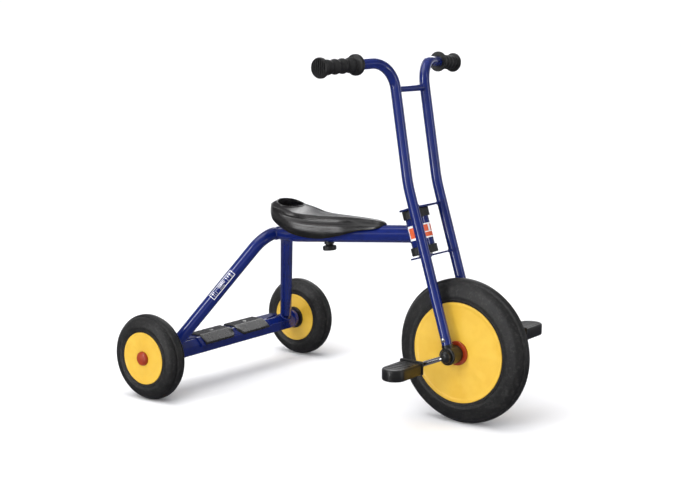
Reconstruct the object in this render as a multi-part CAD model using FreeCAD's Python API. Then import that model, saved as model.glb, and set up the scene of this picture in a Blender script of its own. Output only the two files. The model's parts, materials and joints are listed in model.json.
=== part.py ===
import FreeCAD, Part
import math
import os
from FreeCAD import Vector

# Children's tricycle in millimetres: +X is forwards, +Y is the rider's left, +Z is up.
# Everything is laid out with X = 0 at the rear axle and Z = 0 on the floor. On export it is
# shifted back by half the length, so that the origin is under the middle of the tricycle.

# Wheels
wheelbase = 646.0
front_radius = 152.5
front_rim_radius = 105.9
rear_radius = 95.25
rear_rim_radius = 58.6
rear_wheel_y = 264.5
origin_shift = (wheelbase + front_radius - rear_radius) / 2
front_centre = Vector(wheelbase, 0, front_radius)
rear_axle_radius = 6.0
running_gap = 0.05

# Rear stay: one tube bent to a U that leans forwards
stay_radius = 14.0
stay_wall = 2.0
stay_bend = 67.0
stay_lean = math.radians(28.8)
stay_splay = math.radians(29.67)
stay_foot = Vector(10.8, 195.8, 111.0)

# Rear beam and foot step
beam_half_depth = 20.0
beam_bottom = 77.0
beam_top = 111.0
beam_chamfer = 12.0
beam_half_length = 222.0
beam_wall = 2.0
collar_radius = 22.0
collar_end = 236.0
plate_half_length = 124.0
plate_sheet = 2.5
plate_flange_bottom = 93.0
tongue_straight = 172.0
tongue_end = 190.0
pad_near_y = 6.0
pad_far_y = 112.0
pad_top = 117.0

# Main tube, which rises gently towards the head tube
tube_radius = 19.0
tube_wall = 1.8
tube_rise = math.radians(5.2)
tube_point = Vector(294.0, 0, 364.9)
tube_swage_radius = 13.6
tube_swage_length = 45.0

# Head tube and steering axis
fork_lean = math.radians(17.0)
head_centre = Vector(535.3, 0, 391.0)
head_radius = 24.25
head_bore = 21.0
head_half_length = 44.5
cap_radius = 28.0
pin_radius = 6.0
plate_thickness = 3.5

# Fork legs, each one tube from the wheel to the end of its grip
leg_radius = 11.0
leg_wall = 1.6
leg_y = 54.0
leg_start = 23.0
leg_knee = Vector(540.0, leg_y, 495.0)
bar_corner = Vector(498.8, leg_y, 744.6)
bar_bend = 54.0
grip_start = Vector(478.5, 147.5, 740.0)
grip_end = Vector(457.2, 245.1, 735.1)
grip_bore = 11.15
brace_radius = 6.5
brace_z = 688.7

# Crank and pedals
crank_radius = 5.5
crank_length = 77.5
crank_droop = math.radians(22.5)
crank_arm_y = 75.0
crank_bend = 9.0
pedal_inner_y = 84.5
pedal_outer_y = 174.0
pedal_half_width = 26.0
pedal_half_height = 12.2
pedal_lip = 4.5
pedal_corner = 4.0
housing_radius = 18.75
housing_inner_y = 32.0
housing_outer_y = 66.0
bush_radius = 8.0

# Seat, which is clamped to the main tube by a bolt and a hand knob
seat_bolt_radius = 4.0
seat_travel = 25.0
seat_gap = 0.3
knob_radius = 15.2
# distance forwards, half width of the top, its height, height on the centre line,
# half width of the flared side, its height
seat_stations = [
    (154.0, 27.0, 425.0, 429.0, 30.0, 413.0),
    (162.0, 40.0, 425.0, 432.0, 43.0, 410.0),
    (176.0, 48.0, 420.0, 433.0, 52.0, 403.0),
    (200.0, 51.0, 415.0, 424.0, 56.0, 395.0),
    (230.0, 49.0, 409.5, 413.0, 57.0, 388.0),
    (262.0, 36.0, 406.0, 408.5, 51.0, 384.0),
    (300.0, 25.0, 406.0, 409.0, 42.0, 382.0),
    (345.0, 15.0, 407.0, 409.5, 31.0, 383.0),
    (392.0, 11.0, 406.5, 409.0, 26.0, 386.0),
    (430.0, 9.0, 404.5, 407.0, 21.0, 390.0),
    (447.0, 4.0, 401.5, 402.5, 10.0, 395.0),
]
seat_tuck = 0.86
seat_skirt = [
    (150.0, 424.0),
    (163.0, 409.0),
    (182.0, 390.0),
    (215.0, 371.5),
    (258.0, 360.0),
    (305.0, 358.5),
    (340.0, 366.0),
    (375.0, 378.0),
    (417.0, 386.0),
    (438.0, 390.5),
    (450.0, 400.0),
]
seat_hole_x = 187.0
seat_hole_half_length = 26.0
seat_hole_half_width = 36.0
seat_wall = 4.0
seat_floor = 330.0

sides = {"right": -1, "left": 1}
up = Vector(0, 0, 1)
across = Vector(0, 1, 0)
tube_axis = Vector(math.cos(tube_rise), 0, math.sin(tube_rise))
tube_normal = Vector(-math.sin(tube_rise), 0, math.cos(tube_rise))
head_axis = Vector(-math.sin(fork_lean), 0, math.cos(fork_lean))
head_forward = Vector(math.cos(fork_lean), 0, math.sin(fork_lean))
crank_back = Vector(-math.cos(crank_droop), 0, -math.sin(crank_droop))


def save(name, shape):
    """Write one node, shifted so that the origin is under the middle of the tricycle."""
    moved = shape.copy()
    moved.translate(Vector(-origin_shift, 0, 0))
    moved.exportStep("parts/" + name + ".step")


def mirrored(point, side):
    return Vector(point.x, point.y * side, point.z)


def rod(radius, start, end):
    return Part.makeCylinder(radius, (end - start).Length, start, end - start)


def corner_path(points, radii, closed=False):
    """Straight runs through the points, with a tangent arc of the given radius at each corner."""
    count = len(points)
    corners = []
    for index, corner in enumerate(points):
        radius = radii[index]
        if radius == 0:
            corners.append((corner, None, corner))
            continue
        before = (points[index - 1] - corner).normalize()
        after = (points[(index + 1) % count] - corner).normalize()
        half = before.getAngle(after) / 2
        reach = radius / math.tan(half)
        inwards = (before + after).normalize()
        middle = corner + inwards * (radius / math.sin(half) - radius)
        corners.append((corner + before * reach, middle, corner + after * reach))
    edges = []
    for index, (entry, middle, leave) in enumerate(corners):
        if middle is not None:
            edges.append(Part.Arc(entry, middle, leave).toShape())
        if closed or index + 1 < count:
            following = corners[(index + 1) % count][0]
            if leave.distanceToPoint(following) > 0.001:
                edges.append(Part.LineSegment(leave, following).toShape())
    return Part.Wire(edges)


def bent_rod(points, radii, radius):
    path = corner_path(points, radii)
    section = Part.Wire(Part.makeCircle(radius, points[0], points[1] - points[0]))
    return path.makePipeShell([section], True, False)


def bent_tube(points, radii, radius, wall):
    return bent_rod(points, radii, radius).cut(bent_rod(points, radii, radius - wall))


def turned(outline, origin, axis, radii=None):
    """A closed outline of (radius, distance along the axis) points, turned about the axis."""
    points = [Vector(radius, 0, station) for radius, station in outline]
    wire = corner_path(points, radii or [0] * len(points), closed=True)
    solid = Part.Face(wire).revolve(Vector(0, 0, 0), up, 360)
    solid.Placement = FreeCAD.Placement(origin, FreeCAD.Rotation(up, axis))
    return solid


def extruded(outline, radii, length, origin, along, first, second):
    """An outline in the first and second directions, extruded along the third from origin."""
    points = [origin + first * u + second * v for u, v in outline]
    wire = corner_path(points, radii, closed=True)
    return Part.Face(wire).extrude(along * length)


def hexagon(across_flats, start, end):
    """A hexagonal bar from start to end, as a bolt head or nut."""
    axis = (end - start).normalize()
    rotation = FreeCAD.Rotation(up, axis)
    reach = across_flats / math.sqrt(3)
    angles = [math.radians(60 * step) for step in range(6)]
    corners = [Vector(reach * math.cos(angle), reach * math.sin(angle), 0) for angle in angles]
    points = [start + rotation.multVec(corner) for corner in corners]
    face = Part.Face(Part.makePolygon(points + points[:1]))
    return face.extrude(end - start)


def joined(shapes):
    result = shapes[0]
    for shape in shapes[1:]:
        result = result.fuse(shape)
    return result.removeSplitter()


def head_point(station):
    return head_centre + head_axis * station


def clamp_point(height):
    """A point on the seat bolt's axis, at a height above the main tube's axis."""
    return tube_point + tube_normal * height


# Wheels

def tyre(radius, seat_radius, half_face, half_width, shoulder_drop, centre):
    """Solid rubber tyre: side walls that lean inwards a little, round shoulders, a narrow crown."""
    half = [
        (seat_radius, half_face, 1.5),
        (seat_radius + 12.0, half_width, 10.0),
        (radius - shoulder_drop, 0.8 * half_width, 20.0),
        (radius, 0.22 * half_width, 16.0),
    ]
    outline = half + [(r, -y, bend) for r, y, bend in reversed(half)]
    return turned([(r, y) for r, y, bend in outline], centre, across, [bend for r, y, bend in outline])


def front_wheel():
    rubber = tyre(front_radius, front_rim_radius, 25.5, 27.0, 11.5, front_centre)
    groove_y = 7.0
    groove_width = 1.6
    groove_floor = front_radius - 3.0
    for y in (-groove_y, groove_y):
        ring = [
            (groove_floor, y - groove_width / 2),
            (front_radius + 5.0, y - groove_width / 2),
            (front_radius + 5.0, y + groove_width / 2),
            (groove_floor, y + groove_width / 2),
        ]
        rubber = rubber.cut(turned(ring, front_centre, across))
    save("front_tyre", rubber)

    core_radius = 14.0
    flange_start = 26.0
    flange_end = 31.0
    half_disc = [
        (core_radius, 0),
        (core_radius, flange_start),
        (30.0, flange_start),
        (96.0, 24.0),
        (100.0, 26.5),
        (front_rim_radius, 26.5),
        (front_rim_radius, 0),
        (front_rim_radius - 3.0, 0),
        (front_rim_radius - 3.0, 21.5),
        (core_radius + 4.0, 22.5),
        (core_radius + 4.0, 0),
    ]
    bends = [0, 0, 8, 3, 2, 1, 0, 0, 2, 2, 0]
    flange = [
        (core_radius, flange_start),
        (25.5, flange_start),
        (25.5, flange_end),
        (core_radius, flange_end),
    ]
    for name, side in sides.items():
        save("front_disc_" + name, turned(half_disc, front_centre, across * side, bends))
        save("front_hub_flange_" + name, turned(flange, front_centre, across * side, [0, 0, 1.5, 0]))

    drive_pin = rod(2.5, front_centre - up * 12.5, front_centre + up * 12.5)
    core = rod(core_radius, front_centre - across * flange_end, front_centre + across * flange_end)
    core = core.cut(rod(crank_radius, front_centre - across * 40, front_centre + across * 40))
    save("front_hub_core", core.cut(drive_pin))
    save("crank", crank_rod().cut(drive_pin))
    save("crank_drive_pin", drive_pin)


def crank_rod():
    """One steel rod: a pedal spindle, an arm, the axle, the other arm and the other spindle."""
    spindle_end = pedal_outer_y - 9.0
    arm = crank_back * crank_length
    points = [
        front_centre + arm - across * spindle_end,
        front_centre + arm - across * crank_arm_y,
        front_centre - across * crank_arm_y,
        front_centre + across * crank_arm_y,
        front_centre - arm + across * crank_arm_y,
        front_centre - arm + across * spindle_end,
    ]
    return bent_rod(points, [0, crank_bend, crank_bend, crank_bend, crank_bend, 0], crank_radius)


def pedals():
    push_nuts = []
    washers = []
    for name, side in sides.items():
        out = across * side
        centre = front_centre - crank_back * crank_length * side
        straight = pedal_outer_y - pedal_half_width
        body = extruded(
            [
                (pedal_half_width, pedal_inner_y),
                (pedal_half_width, pedal_outer_y),
                (-pedal_half_width, pedal_outer_y),
                (-pedal_half_width, pedal_inner_y),
            ],
            [3, pedal_half_width - 0.1, pedal_half_width - 0.1, 3],
            2 * pedal_half_height,
            centre - up * pedal_half_height,
            up,
            Vector(1, 0, 0),
            out,
        )
        lip_half_width = pedal_half_width + 2.5
        lip_top = pedal_half_height + pedal_lip
        lip_outline = [
            (-lip_half_width, -pedal_half_height),
            (lip_half_width, -pedal_half_height),
            (lip_half_width, lip_top),
            (-lip_half_width, lip_top),
        ]
        lip_start = centre + out * pedal_inner_y
        lip = extruded(lip_outline, [3] * 4, pedal_corner, lip_start, out, Vector(1, 0, 0), up)
        level_edges = [edge for edge in body.Edges if abs(edge.tangentAt(edge.FirstParameter).z) < 0.1]
        body = joined([body.makeFillet(pedal_corner, level_edges), lip])
        pocket_start = straight + 6.0
        pocket_end = pedal_outer_y - 5.0
        body = body.cut(rod(crank_radius + running_gap, centre + out * 60, centre + out * pocket_start))
        body = body.cut(rod(9.0, centre + out * pocket_start, centre + out * pocket_end))
        save("pedal_" + name, body)
        seat = pocket_start + 0.3
        washer = rod(8.5, centre + out * seat, centre + out * (seat + 1.5))
        nut = rod(8.0, centre + out * (seat + 1.5), centre + out * (seat + 5.0))
        spindle = rod(crank_radius, centre + out * 60, centre + out * pedal_outer_y)
        washers.append(washer.cut(spindle))
        push_nuts.append(nut.cut(spindle))
    save("pedal_washers", Part.makeCompound(washers))
    save("pedal_push_nuts", Part.makeCompound(push_nuts))


def rear_wheels():
    """Distances along the axle are from the wheel's middle plane, outwards."""
    bush_outer = 11.0
    pocket = 15.0
    half_disc = [
        (bush_outer, 0),
        (bush_outer, 13.0),
        (pocket, 13.0),
        (pocket, 22.5),
        (52.0, 21.0),
        (54.5, 23.0),
        (rear_rim_radius, 23.0),
        (rear_rim_radius, 0),
        (rear_rim_radius - 3.0, 0),
        (rear_rim_radius - 3.0, 18.5),
        (19.0, 18.5),
        (19.0, 0),
    ]
    bends = [0, 0, 0, 0, 2, 1, 1, 0, 0, 2, 2, 0]
    inner_disc = [
        (bush_outer, 0),
        (bush_outer, 22.0),
        (52.0, 21.0),
        (54.5, 23.0),
        (rear_rim_radius, 23.0),
        (rear_rim_radius, 0),
        (rear_rim_radius - 3.0, 0),
        (rear_rim_radius - 3.0, 18.5),
        (19.0, 18.5),
        (19.0, 0),
    ]
    inner_bends = [0, 0, 2, 1, 1, 0, 0, 2, 2, 0]
    cap = [
        (13.4, 16.0),
        (pocket, 16.0),
        (pocket, 22.5),
        (15.8, 22.5),
        (15.4, 28.5),
        (0, 31.0),
        (0, 29.2),
        (13.4, 27.2),
    ]
    bore = rear_axle_radius + running_gap
    bush_flange = 14.6
    outer_bush = [
        (bore, 1.0),
        (bush_outer, 1.0),
        (bush_outer, 13.0),
        (bush_flange, 13.0),
        (bush_flange, 14.5),
        (bore, 14.5),
    ]
    inner_bush = [
        (bore, 8.0),
        (bush_outer, 8.0),
        (bush_outer, 22.0),
        (bush_flange, 22.0),
        (bush_flange, 24.0),
        (bore, 24.0),
    ]
    dust_ring = [(15.5, 22.0), (27.0, 22.0), (26.0, 28.0), (15.5, 28.0)]
    for name, side in sides.items():
        out = across * side
        centre = Vector(0, rear_wheel_y * side, rear_radius)
        save("rear_tyre_" + name, tyre(rear_radius, rear_rim_radius, 22.5, 25.0, 8.0, centre))
        save("rear_disc_outer_" + name, turned(half_disc, centre, out, bends))
        save("rear_disc_inner_" + name, turned(inner_disc, centre, out * -1, inner_bends))
        save("rear_hub_cap_" + name, turned(cap, centre, out, [0, 0, 0, 0, 5.5, 0, 0, 3.5]))
        bushes = [turned(outer_bush, centre, out), turned(inner_bush, centre, out * -1)]
        save("rear_wheel_bushes_" + name, Part.makeCompound(bushes))
        save("rear_dust_ring_" + name, turned(dust_ring, centre, out * -1, [0, 1, 2, 0]))


# Frame

def stay_path():
    lean = Vector(math.sin(stay_lean), 0, math.cos(stay_lean))
    corner = Vector(stay_foot.x, 0, stay_foot.z) + lean * (stay_foot.y / math.tan(stay_splay))
    return [mirrored(stay_foot, -1), corner, stay_foot]


def rear_stay():
    """The U tube is bent from a longer one, whose ends are then cut level with the beam."""
    foot, corner, other_foot = stay_path()
    overrun = 20.0
    low = foot + (foot - corner).normalize() * overrun
    other_low = other_foot + (other_foot - corner).normalize() * overrun
    stay = bent_tube([low, corner, other_low], [0, stay_bend, 0], stay_radius, stay_wall)
    below = Part.makeBox(200, 600, 60, Vector(-100, -300, beam_top - 60))
    return stay.cut(below)


def beam_outline(inset):
    half = beam_half_depth - inset
    bottom = beam_bottom + inset
    top = beam_top - inset
    cut = beam_chamfer - 0.4 * inset
    return [
        (-half, bottom),
        (half, bottom),
        (half, top - cut),
        (half - cut, top),
        (cut - half, top),
        (-half, top - cut),
    ]


def beam_solid(inset=0.0):
    bends = [1] * 6 if inset else [3, 3, 3, 2, 2, 3]
    start = Vector(0, -beam_half_length, 0)
    return extruded(beam_outline(inset), bends, 2 * beam_half_length, start, across, Vector(1, 0, 0), up)


def foot_step():
    """A folded cover plate on the beam, with two rubber pads that roll over its front edge."""
    forwards = Vector(1, 0, 0)
    plate_front = 25.5
    plate_back = 24.0
    plate_top = beam_top + plate_sheet
    beam_edge = beam_half_depth - beam_chamfer
    flange_top = 98.0
    plate = extruded(
        [
            (-plate_back, plate_flange_bottom),
            (-plate_back, plate_top),
            (beam_edge + 1.0, plate_top),
            (plate_front, flange_top + 1.2),
            (plate_front, plate_flange_bottom),
            (plate_front - plate_sheet, plate_flange_bottom),
            (plate_front - plate_sheet, flange_top),
            (beam_edge, beam_top),
            (plate_sheet - plate_back, beam_top),
            (plate_sheet - plate_back, plate_flange_bottom),
        ],
        [0, 5, 6, 4, 0, 0, 1.5, 3, 2.5, 0],
        2 * plate_half_length,
        Vector(0, -plate_half_length, 0),
        across,
        forwards,
        up,
    )
    web_outline = [
        (1.0 - plate_back, plate_flange_bottom),
        (1.0 - plate_back, beam_top + 1.0),
        (beam_edge, beam_top + 1.0),
        (plate_front - 1.0, flange_top),
        (plate_front - 1.0, plate_flange_bottom),
    ]
    webs = []
    for start in (-plate_half_length, plate_half_length - plate_sheet):
        web_start = Vector(0, start, 0)
        webs.append(extruded(web_outline, [0] * 5, plate_sheet, web_start, across, forwards, up))
    tongue_tip = -beam_edge - 1.0
    tongue_plan = [
        (-plate_back, -tongue_straight),
        (tongue_tip, -tongue_end),
        (beam_edge, 1.0 - plate_half_length),
        (beam_edge, plate_half_length - 1.0),
        (tongue_tip, tongue_end),
        (-plate_back, tongue_straight),
    ]
    tongue_bends = [8, 4, 0, 0, 4, 8]
    tongues = extruded(tongue_plan, tongue_bends, plate_sheet, Vector(0, 0, beam_top), up, forwards, across)
    plate = joined([plate, tongues] + webs).cut(beam_solid())
    pad_front = plate_front + 4.0
    pad_back = -plate_back - 2.0
    pad_low = flange_top - 1.0
    pad_outline = [
        (pad_back, plate_top),
        (pad_back, pad_top),
        (beam_edge - 2.0, pad_top),
        (pad_front, pad_low + 4.0),
        (pad_front, pad_low),
        (plate_front, pad_low),
        (plate_front, flange_top + 1.2),
        (beam_edge + 1.0, plate_top),
    ]
    pad_bends = [0, 2, 14, 3, 1.5, 0, 4, 6]
    pad_length = pad_far_y - pad_near_y
    screw_x = -6.0
    screws = []
    pads = {}
    for name, side in sides.items():
        start = pad_near_y if side > 0 else -pad_far_y
        pad = extruded(
            pad_outline,
            pad_bends,
            pad_length,
            Vector(0, start, 0),
            across,
            forwards,
            up,
        )
        end = start + pad_length
        plan = extruded(
            [(pad_back, start), (pad_front, start), (pad_front, end), (pad_back, end)],
            [5, 16, 16, 5],
            40,
            Vector(0, 0, plate_flange_bottom - 3),
            up,
            forwards,
            across,
        )
        pad = pad.common(plan)
        middle = Vector(screw_x, side * (pad_near_y + pad_far_y) / 2, pad_top)
        shank = rod(2.5, middle - up * 12, middle)
        head = rod(5.0, middle - up * 1.5, middle + up * 1.0)
        screw = joined([shank, head])
        screws.append(screw)
        pads[name] = pad.cut(screw)
        plate = plate.cut(screw)
    return plate, pads, screws


def frame():
    stay = rear_stay()
    stay_solid = bent_rod(stay_path(), [0, stay_bend, 0], stay_radius)
    beam = beam_solid().cut(beam_solid(beam_wall))
    plate, pads, screws = foot_step()
    for screw in screws:
        beam = beam.cut(screw)
    save("rear_stay", stay)
    save("rear_beam", beam)
    save("step_plate", plate)
    for name, pad in pads.items():
        save("step_pad_" + name, pad)
    save("step_screws", Part.makeCompound(screws))

    axle_centre = Vector(0, 0, rear_radius)
    axle_end = rear_wheel_y + 24.0
    axle = rod(rear_axle_radius, axle_centre - across * axle_end, axle_centre + across * axle_end)
    save("rear_axle", axle)
    collar_outline = [
        (rear_axle_radius, beam_half_length),
        (collar_radius, beam_half_length),
        (collar_radius, collar_end),
        (rear_axle_radius, collar_end),
    ]
    collars = []
    nuts = []
    washers = []
    for side in sides.values():
        out = across * side
        collars.append(turned(collar_outline, axle_centre, out, [0, 1, 5, 0]))
        washer_start = axle_centre + out * (rear_wheel_y + 14.7)
        nut_start = washer_start + out * 1.5
        washers.append(rod(11.5, washer_start, nut_start).cut(axle))
        nuts.append(hexagon(19.0, nut_start, nut_start + out * 6.0).cut(axle))
    save("axle_collars", Part.makeCompound(collars))
    save("rear_axle_nuts", Part.makeCompound(nuts))
    save("rear_axle_washers", Part.makeCompound(washers))

    save("main_tube", main_tube(stay_solid))
    head_tube = rod(head_radius, head_point(-head_half_length), head_point(head_half_length))
    bore = rod(head_bore, head_point(-head_half_length), head_point(head_half_length))
    save("head_tube", head_tube.cut(bore))
    cap_top = head_half_length + 4.5
    cap_skirt = 30.0
    bush = [
        (pin_radius + running_gap, 33.0),
        (head_bore, 33.0),
        (head_bore, head_half_length),
        (head_radius, head_half_length),
        (head_radius, cap_skirt),
        (cap_radius, cap_skirt),
        (cap_radius, cap_top),
        (pin_radius + running_gap, cap_top),
    ]
    save("head_bush_upper", turned(bush, head_centre, head_axis, [0, 0, 0, 0, 0, 1, 2, 0]))
    lower_bush = [(r, min(station, head_half_length + 3.0)) for r, station in bush]
    save("head_bush_lower", turned(lower_bush, head_centre, head_axis * -1, [0, 0, 0, 0, 0, 1, 2, 0]))


def main_tube(stay_solid):
    """Round tube with a swaged rear end, coped to the stay and the head tube, slotted for the seat."""
    start_x = 143.4
    start = tube_point + tube_axis * ((start_x - tube_point.x) / tube_axis.x)
    length = (head_centre.x - start_x) / tube_axis.x
    swage_start = 14.0
    swage_end = swage_start + tube_swage_length
    outer = [
        (0, 0),
        (tube_swage_radius, 0),
        (tube_swage_radius, swage_start),
        (tube_radius, swage_end),
        (tube_radius, length),
        (0, length),
    ]
    inner = [(max(0, radius - tube_wall), station) for radius, station in outer]
    bends = [0, 0, 60, 120, 0, 0]
    tube = turned(outer, start, tube_axis, bends).cut(turned(inner, start, tube_axis, bends))
    tube = tube.cut(stay_solid)
    tube = tube.cut(rod(head_radius, head_point(-80), head_point(80)))
    slot_half = seat_travel + 1.0
    slot_radius = seat_bolt_radius + 0.4
    ends = [clamp_point(-30) - tube_axis * slot_half, clamp_point(-30) + tube_axis * slot_half]
    for end in ends:
        tube = tube.cut(rod(slot_radius, end, end + tube_normal * 60))
    slot = extruded(
        [
            (-slot_half, -slot_radius),
            (slot_half, -slot_radius),
            (slot_half, slot_radius),
            (-slot_half, slot_radius),
        ],
        [0, 0, 0, 0],
        60,
        clamp_point(-30),
        tube_normal,
        tube_axis,
        across,
    )
    return tube.cut(slot)


# Steering

def leg_points(side):
    foot = Vector(front_centre.x, leg_y, front_centre.z)
    leg_axis = (leg_knee - foot).normalize()
    tube_end = grip_end + (grip_start - grip_end).normalize() * 5.0
    return [mirrored(point, side) for point in (foot + leg_axis * leg_start, leg_knee, bar_corner, tube_end)]


def steering():
    leg_bends = [0, 260, bar_bend, 0]
    solids = {}
    legs = {}
    screws = []
    for name, side in sides.items():
        points = leg_points(side)
        out = across * side
        solids[name] = bent_rod(points, leg_bends, leg_radius)
        leg = bent_tube(points, leg_bends, leg_radius, leg_wall)
        leg_axis = (points[1] - points[0]).normalize()
        bolt = points[0] + leg_axis * 11.0
        shank = rod(2.5, bolt - out * 13.0, bolt + out * 11.0)
        head = turned([(0, 10.6), (4.6, 10.6), (4.6, 13.6), (0, 14.6)], bolt, out, [0, 0, 1.5, 0])
        screw = joined([shank, head])
        screws.append(screw)
        legs[name] = leg.cut(screw)
        housing, bush = axle_housing(side, points[0], leg_axis)
        save("axle_housing_" + name, housing.cut(screw))
        save("crank_bush_" + name, bush)
        save("fork_leg_" + name, legs[name])
        save("grip_" + name, grip(side))
    save("housing_screws", Part.makeCompound(screws))

    pin_head = 7.0
    upper = head_half_length + 4.7
    lower = -head_half_length - 6.2
    plates = {"upper": upper, "lower": lower - plate_thickness}
    shank = rod(pin_radius, head_point(lower - plate_thickness - 15.0), head_point(upper + plate_thickness))
    for name, station in plates.items():
        outline = [(36.0, -58.0), (-30.0, -21.0), (-30.0, 21.0), (36.0, 58.0)]
        plate = extruded(
            outline,
            [0, 26, 26, 0],
            plate_thickness,
            head_point(station),
            head_axis,
            head_forward,
            across,
        )
        for solid in solids.values():
            plate = plate.cut(solid)
        save("fork_plate_" + name, plate.cut(shank))
    head = hexagon(19.0, head_point(upper + plate_thickness), head_point(upper + plate_thickness + pin_head))
    save("steering_pin", joined([shank, head]))
    spacer = rod(15.0, head_point(lower), head_point(-head_half_length - 3.2)).cut(shank)
    washer_start = lower - plate_thickness - 2.0
    washer = rod(12.0, head_point(washer_start), head_point(washer_start + 2.0)).cut(shank)
    save("steering_washers", Part.makeCompound([spacer, washer]))
    nut = hexagon(19.0, head_point(washer_start - 10.0), head_point(washer_start)).cut(shank)
    save("steering_nut", nut)

    brace_x = leg_knee.x + (bar_corner.x - leg_knee.x) * (brace_z - leg_knee.z) / (bar_corner.z - leg_knee.z)
    brace = rod(brace_radius, Vector(brace_x, -leg_y, brace_z), Vector(brace_x, leg_y, brace_z))
    for solid in solids.values():
        brace = brace.cut(solid)
    save("handlebar_brace", brace)


def axle_housing(side, foot, leg_axis):
    """Black bearing block on the crank axle, with a plug that goes up into the fork leg."""
    out = across * side
    centre = front_centre
    outline = [
        (bush_radius, housing_inner_y),
        (housing_radius, housing_inner_y),
        (housing_radius, housing_outer_y),
        (bush_radius, housing_outer_y),
    ]
    block = turned(outline, centre, out, [0, 1.5, 2.5, 0])
    neck = rod(12.0, foot - leg_axis * 12.0, foot)
    plug = rod(leg_radius - leg_wall, foot, foot + leg_axis * 34.0)
    body = joined([block, neck, plug])
    body = body.cut(rod(bush_radius, centre + out * 20, centre + out * 80))
    bore = crank_radius + running_gap
    bush_outline = [
        (bore, housing_inner_y + 0.5),
        (bush_radius, housing_inner_y + 0.5),
        (bush_radius, housing_outer_y - 0.3),
        (bore, housing_outer_y - 0.3),
    ]
    return body, turned(bush_outline, centre, out)


def grip(side):
    """Moulded grip: an inner flange, four finger waves and a closed end disc."""
    start = mirrored(grip_start, side)
    end = mirrored(grip_end, side)
    length = (end - start).Length
    waves = 4
    first = 9.0
    last = length - 11.0
    flange_radius = 21.0
    end_radius = 21.5
    trough = 13.0
    crest = 15.4
    outline = [(grip_bore, 0), (flange_radius, 0), (flange_radius, 5.0)]
    bends = [0, 1.5, 1.5]
    for wave in range(waves):
        pitch = (last - first) / waves
        outline.append((trough, first + wave * pitch))
        outline.append((crest, first + (wave + 0.5) * pitch))
        bends.extend([5, 5])
    outline.extend([(trough, last), (end_radius, length - 7.5), (end_radius, length)])
    outline.extend([(0, length), (0, length - 5), (grip_bore, length - 5)])
    bends.extend([5, 1.5, 2.5, 0, 0, 0])
    return turned(outline, start, end - start, bends)


# Seat

def seat_loft(inset, floor):
    """Loft of arched sections, made smaller all round by the inset and open below."""
    wires = []
    first = seat_stations[0][0]
    last = seat_stations[-1][0]
    for x, top_half, top_edge, top_middle, flare_half, flare_z in seat_stations:
        place = x
        if x == first:
            place = x + inset
        if x == last:
            place = x - inset
        flare = max(2.0, flare_half - inset)
        edge_half = max(1.5, top_half - 0.7 * inset)
        arch = [
            Vector(place, -seat_tuck * flare, floor),
            Vector(place, -flare, flare_z),
            Vector(place, -edge_half, top_edge - inset),
            Vector(place, 0, top_middle - inset),
            Vector(place, edge_half, top_edge - inset),
            Vector(place, flare, flare_z),
            Vector(place, seat_tuck * flare, floor),
        ]
        curve = Part.BSplineCurve()
        curve.interpolate(arch)
        wires.append(Part.Wire([curve.toShape(), Part.LineSegment(arch[-1], arch[0]).toShape()]))
    return Part.makeLoft(wires, True, False)


def seat():
    skirt = Part.BSplineCurve()
    skirt.interpolate([Vector(x, -100, z) for x, z in seat_skirt])
    first = Vector(seat_skirt[0][0], -100, seat_skirt[0][1])
    last = Vector(seat_skirt[-1][0], -100, seat_skirt[-1][1])
    ceiling = 460.0
    edges = [
        skirt.toShape(),
        Part.LineSegment(last, Vector(last.x, -100, ceiling)).toShape(),
        Part.LineSegment(Vector(last.x, -100, ceiling), Vector(first.x, -100, ceiling)).toShape(),
        Part.LineSegment(Vector(first.x, -100, ceiling), first).toShape(),
    ]
    above_skirt = Part.Face(Part.Wire(edges)).extrude(across * 200)
    hollow = seat_loft(seat_wall, seat_floor - 10)
    shell = seat_loft(0, seat_floor).cut(hollow).common(above_skirt)
    tube_reach = tube_axis * 300
    tube_room = rod(tube_radius + seat_gap, clamp_point(0) - tube_reach, clamp_point(0) + tube_reach)
    shell = shell.cut(tube_room)
    stretch = FreeCAD.Matrix()
    stretch.scale(Vector(seat_hole_half_length, seat_hole_half_width, 1.0))
    hole = Part.makeCylinder(1.0, 100.0).transformGeometry(stretch)
    hole.translate(Vector(seat_hole_x, 0, seat_floor + 30))
    shell = shell.cut(hole)
    shell = max(shell.Solids, key=lambda solid: solid.Volume)
    save("seat_shell", shell)

    block = extruded(
        [(-30, -16), (30, -16), (30, 16), (-30, 16)],
        [4, 4, 4, 4],
        34,
        clamp_point(10),
        tube_normal,
        tube_axis,
        across,
    )
    block = block.cut(tube_room).common(hollow)
    shank = rod(seat_bolt_radius, clamp_point(-34), clamp_point(30))
    head = rod(8.5, clamp_point(30), clamp_point(34))
    bolt = joined([shank, head])
    save("seat_bolt", bolt)
    block = block.cut(rod(8.5, clamp_point(30), clamp_point(60))).cut(bolt)
    save("seat_block", max(block.Solids, key=lambda solid: solid.Volume))
    washer = rod(11.0, clamp_point(-22.5), clamp_point(-10)).cut(tube_room).cut(bolt)
    save("seat_clamp_washer", washer)


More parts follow.
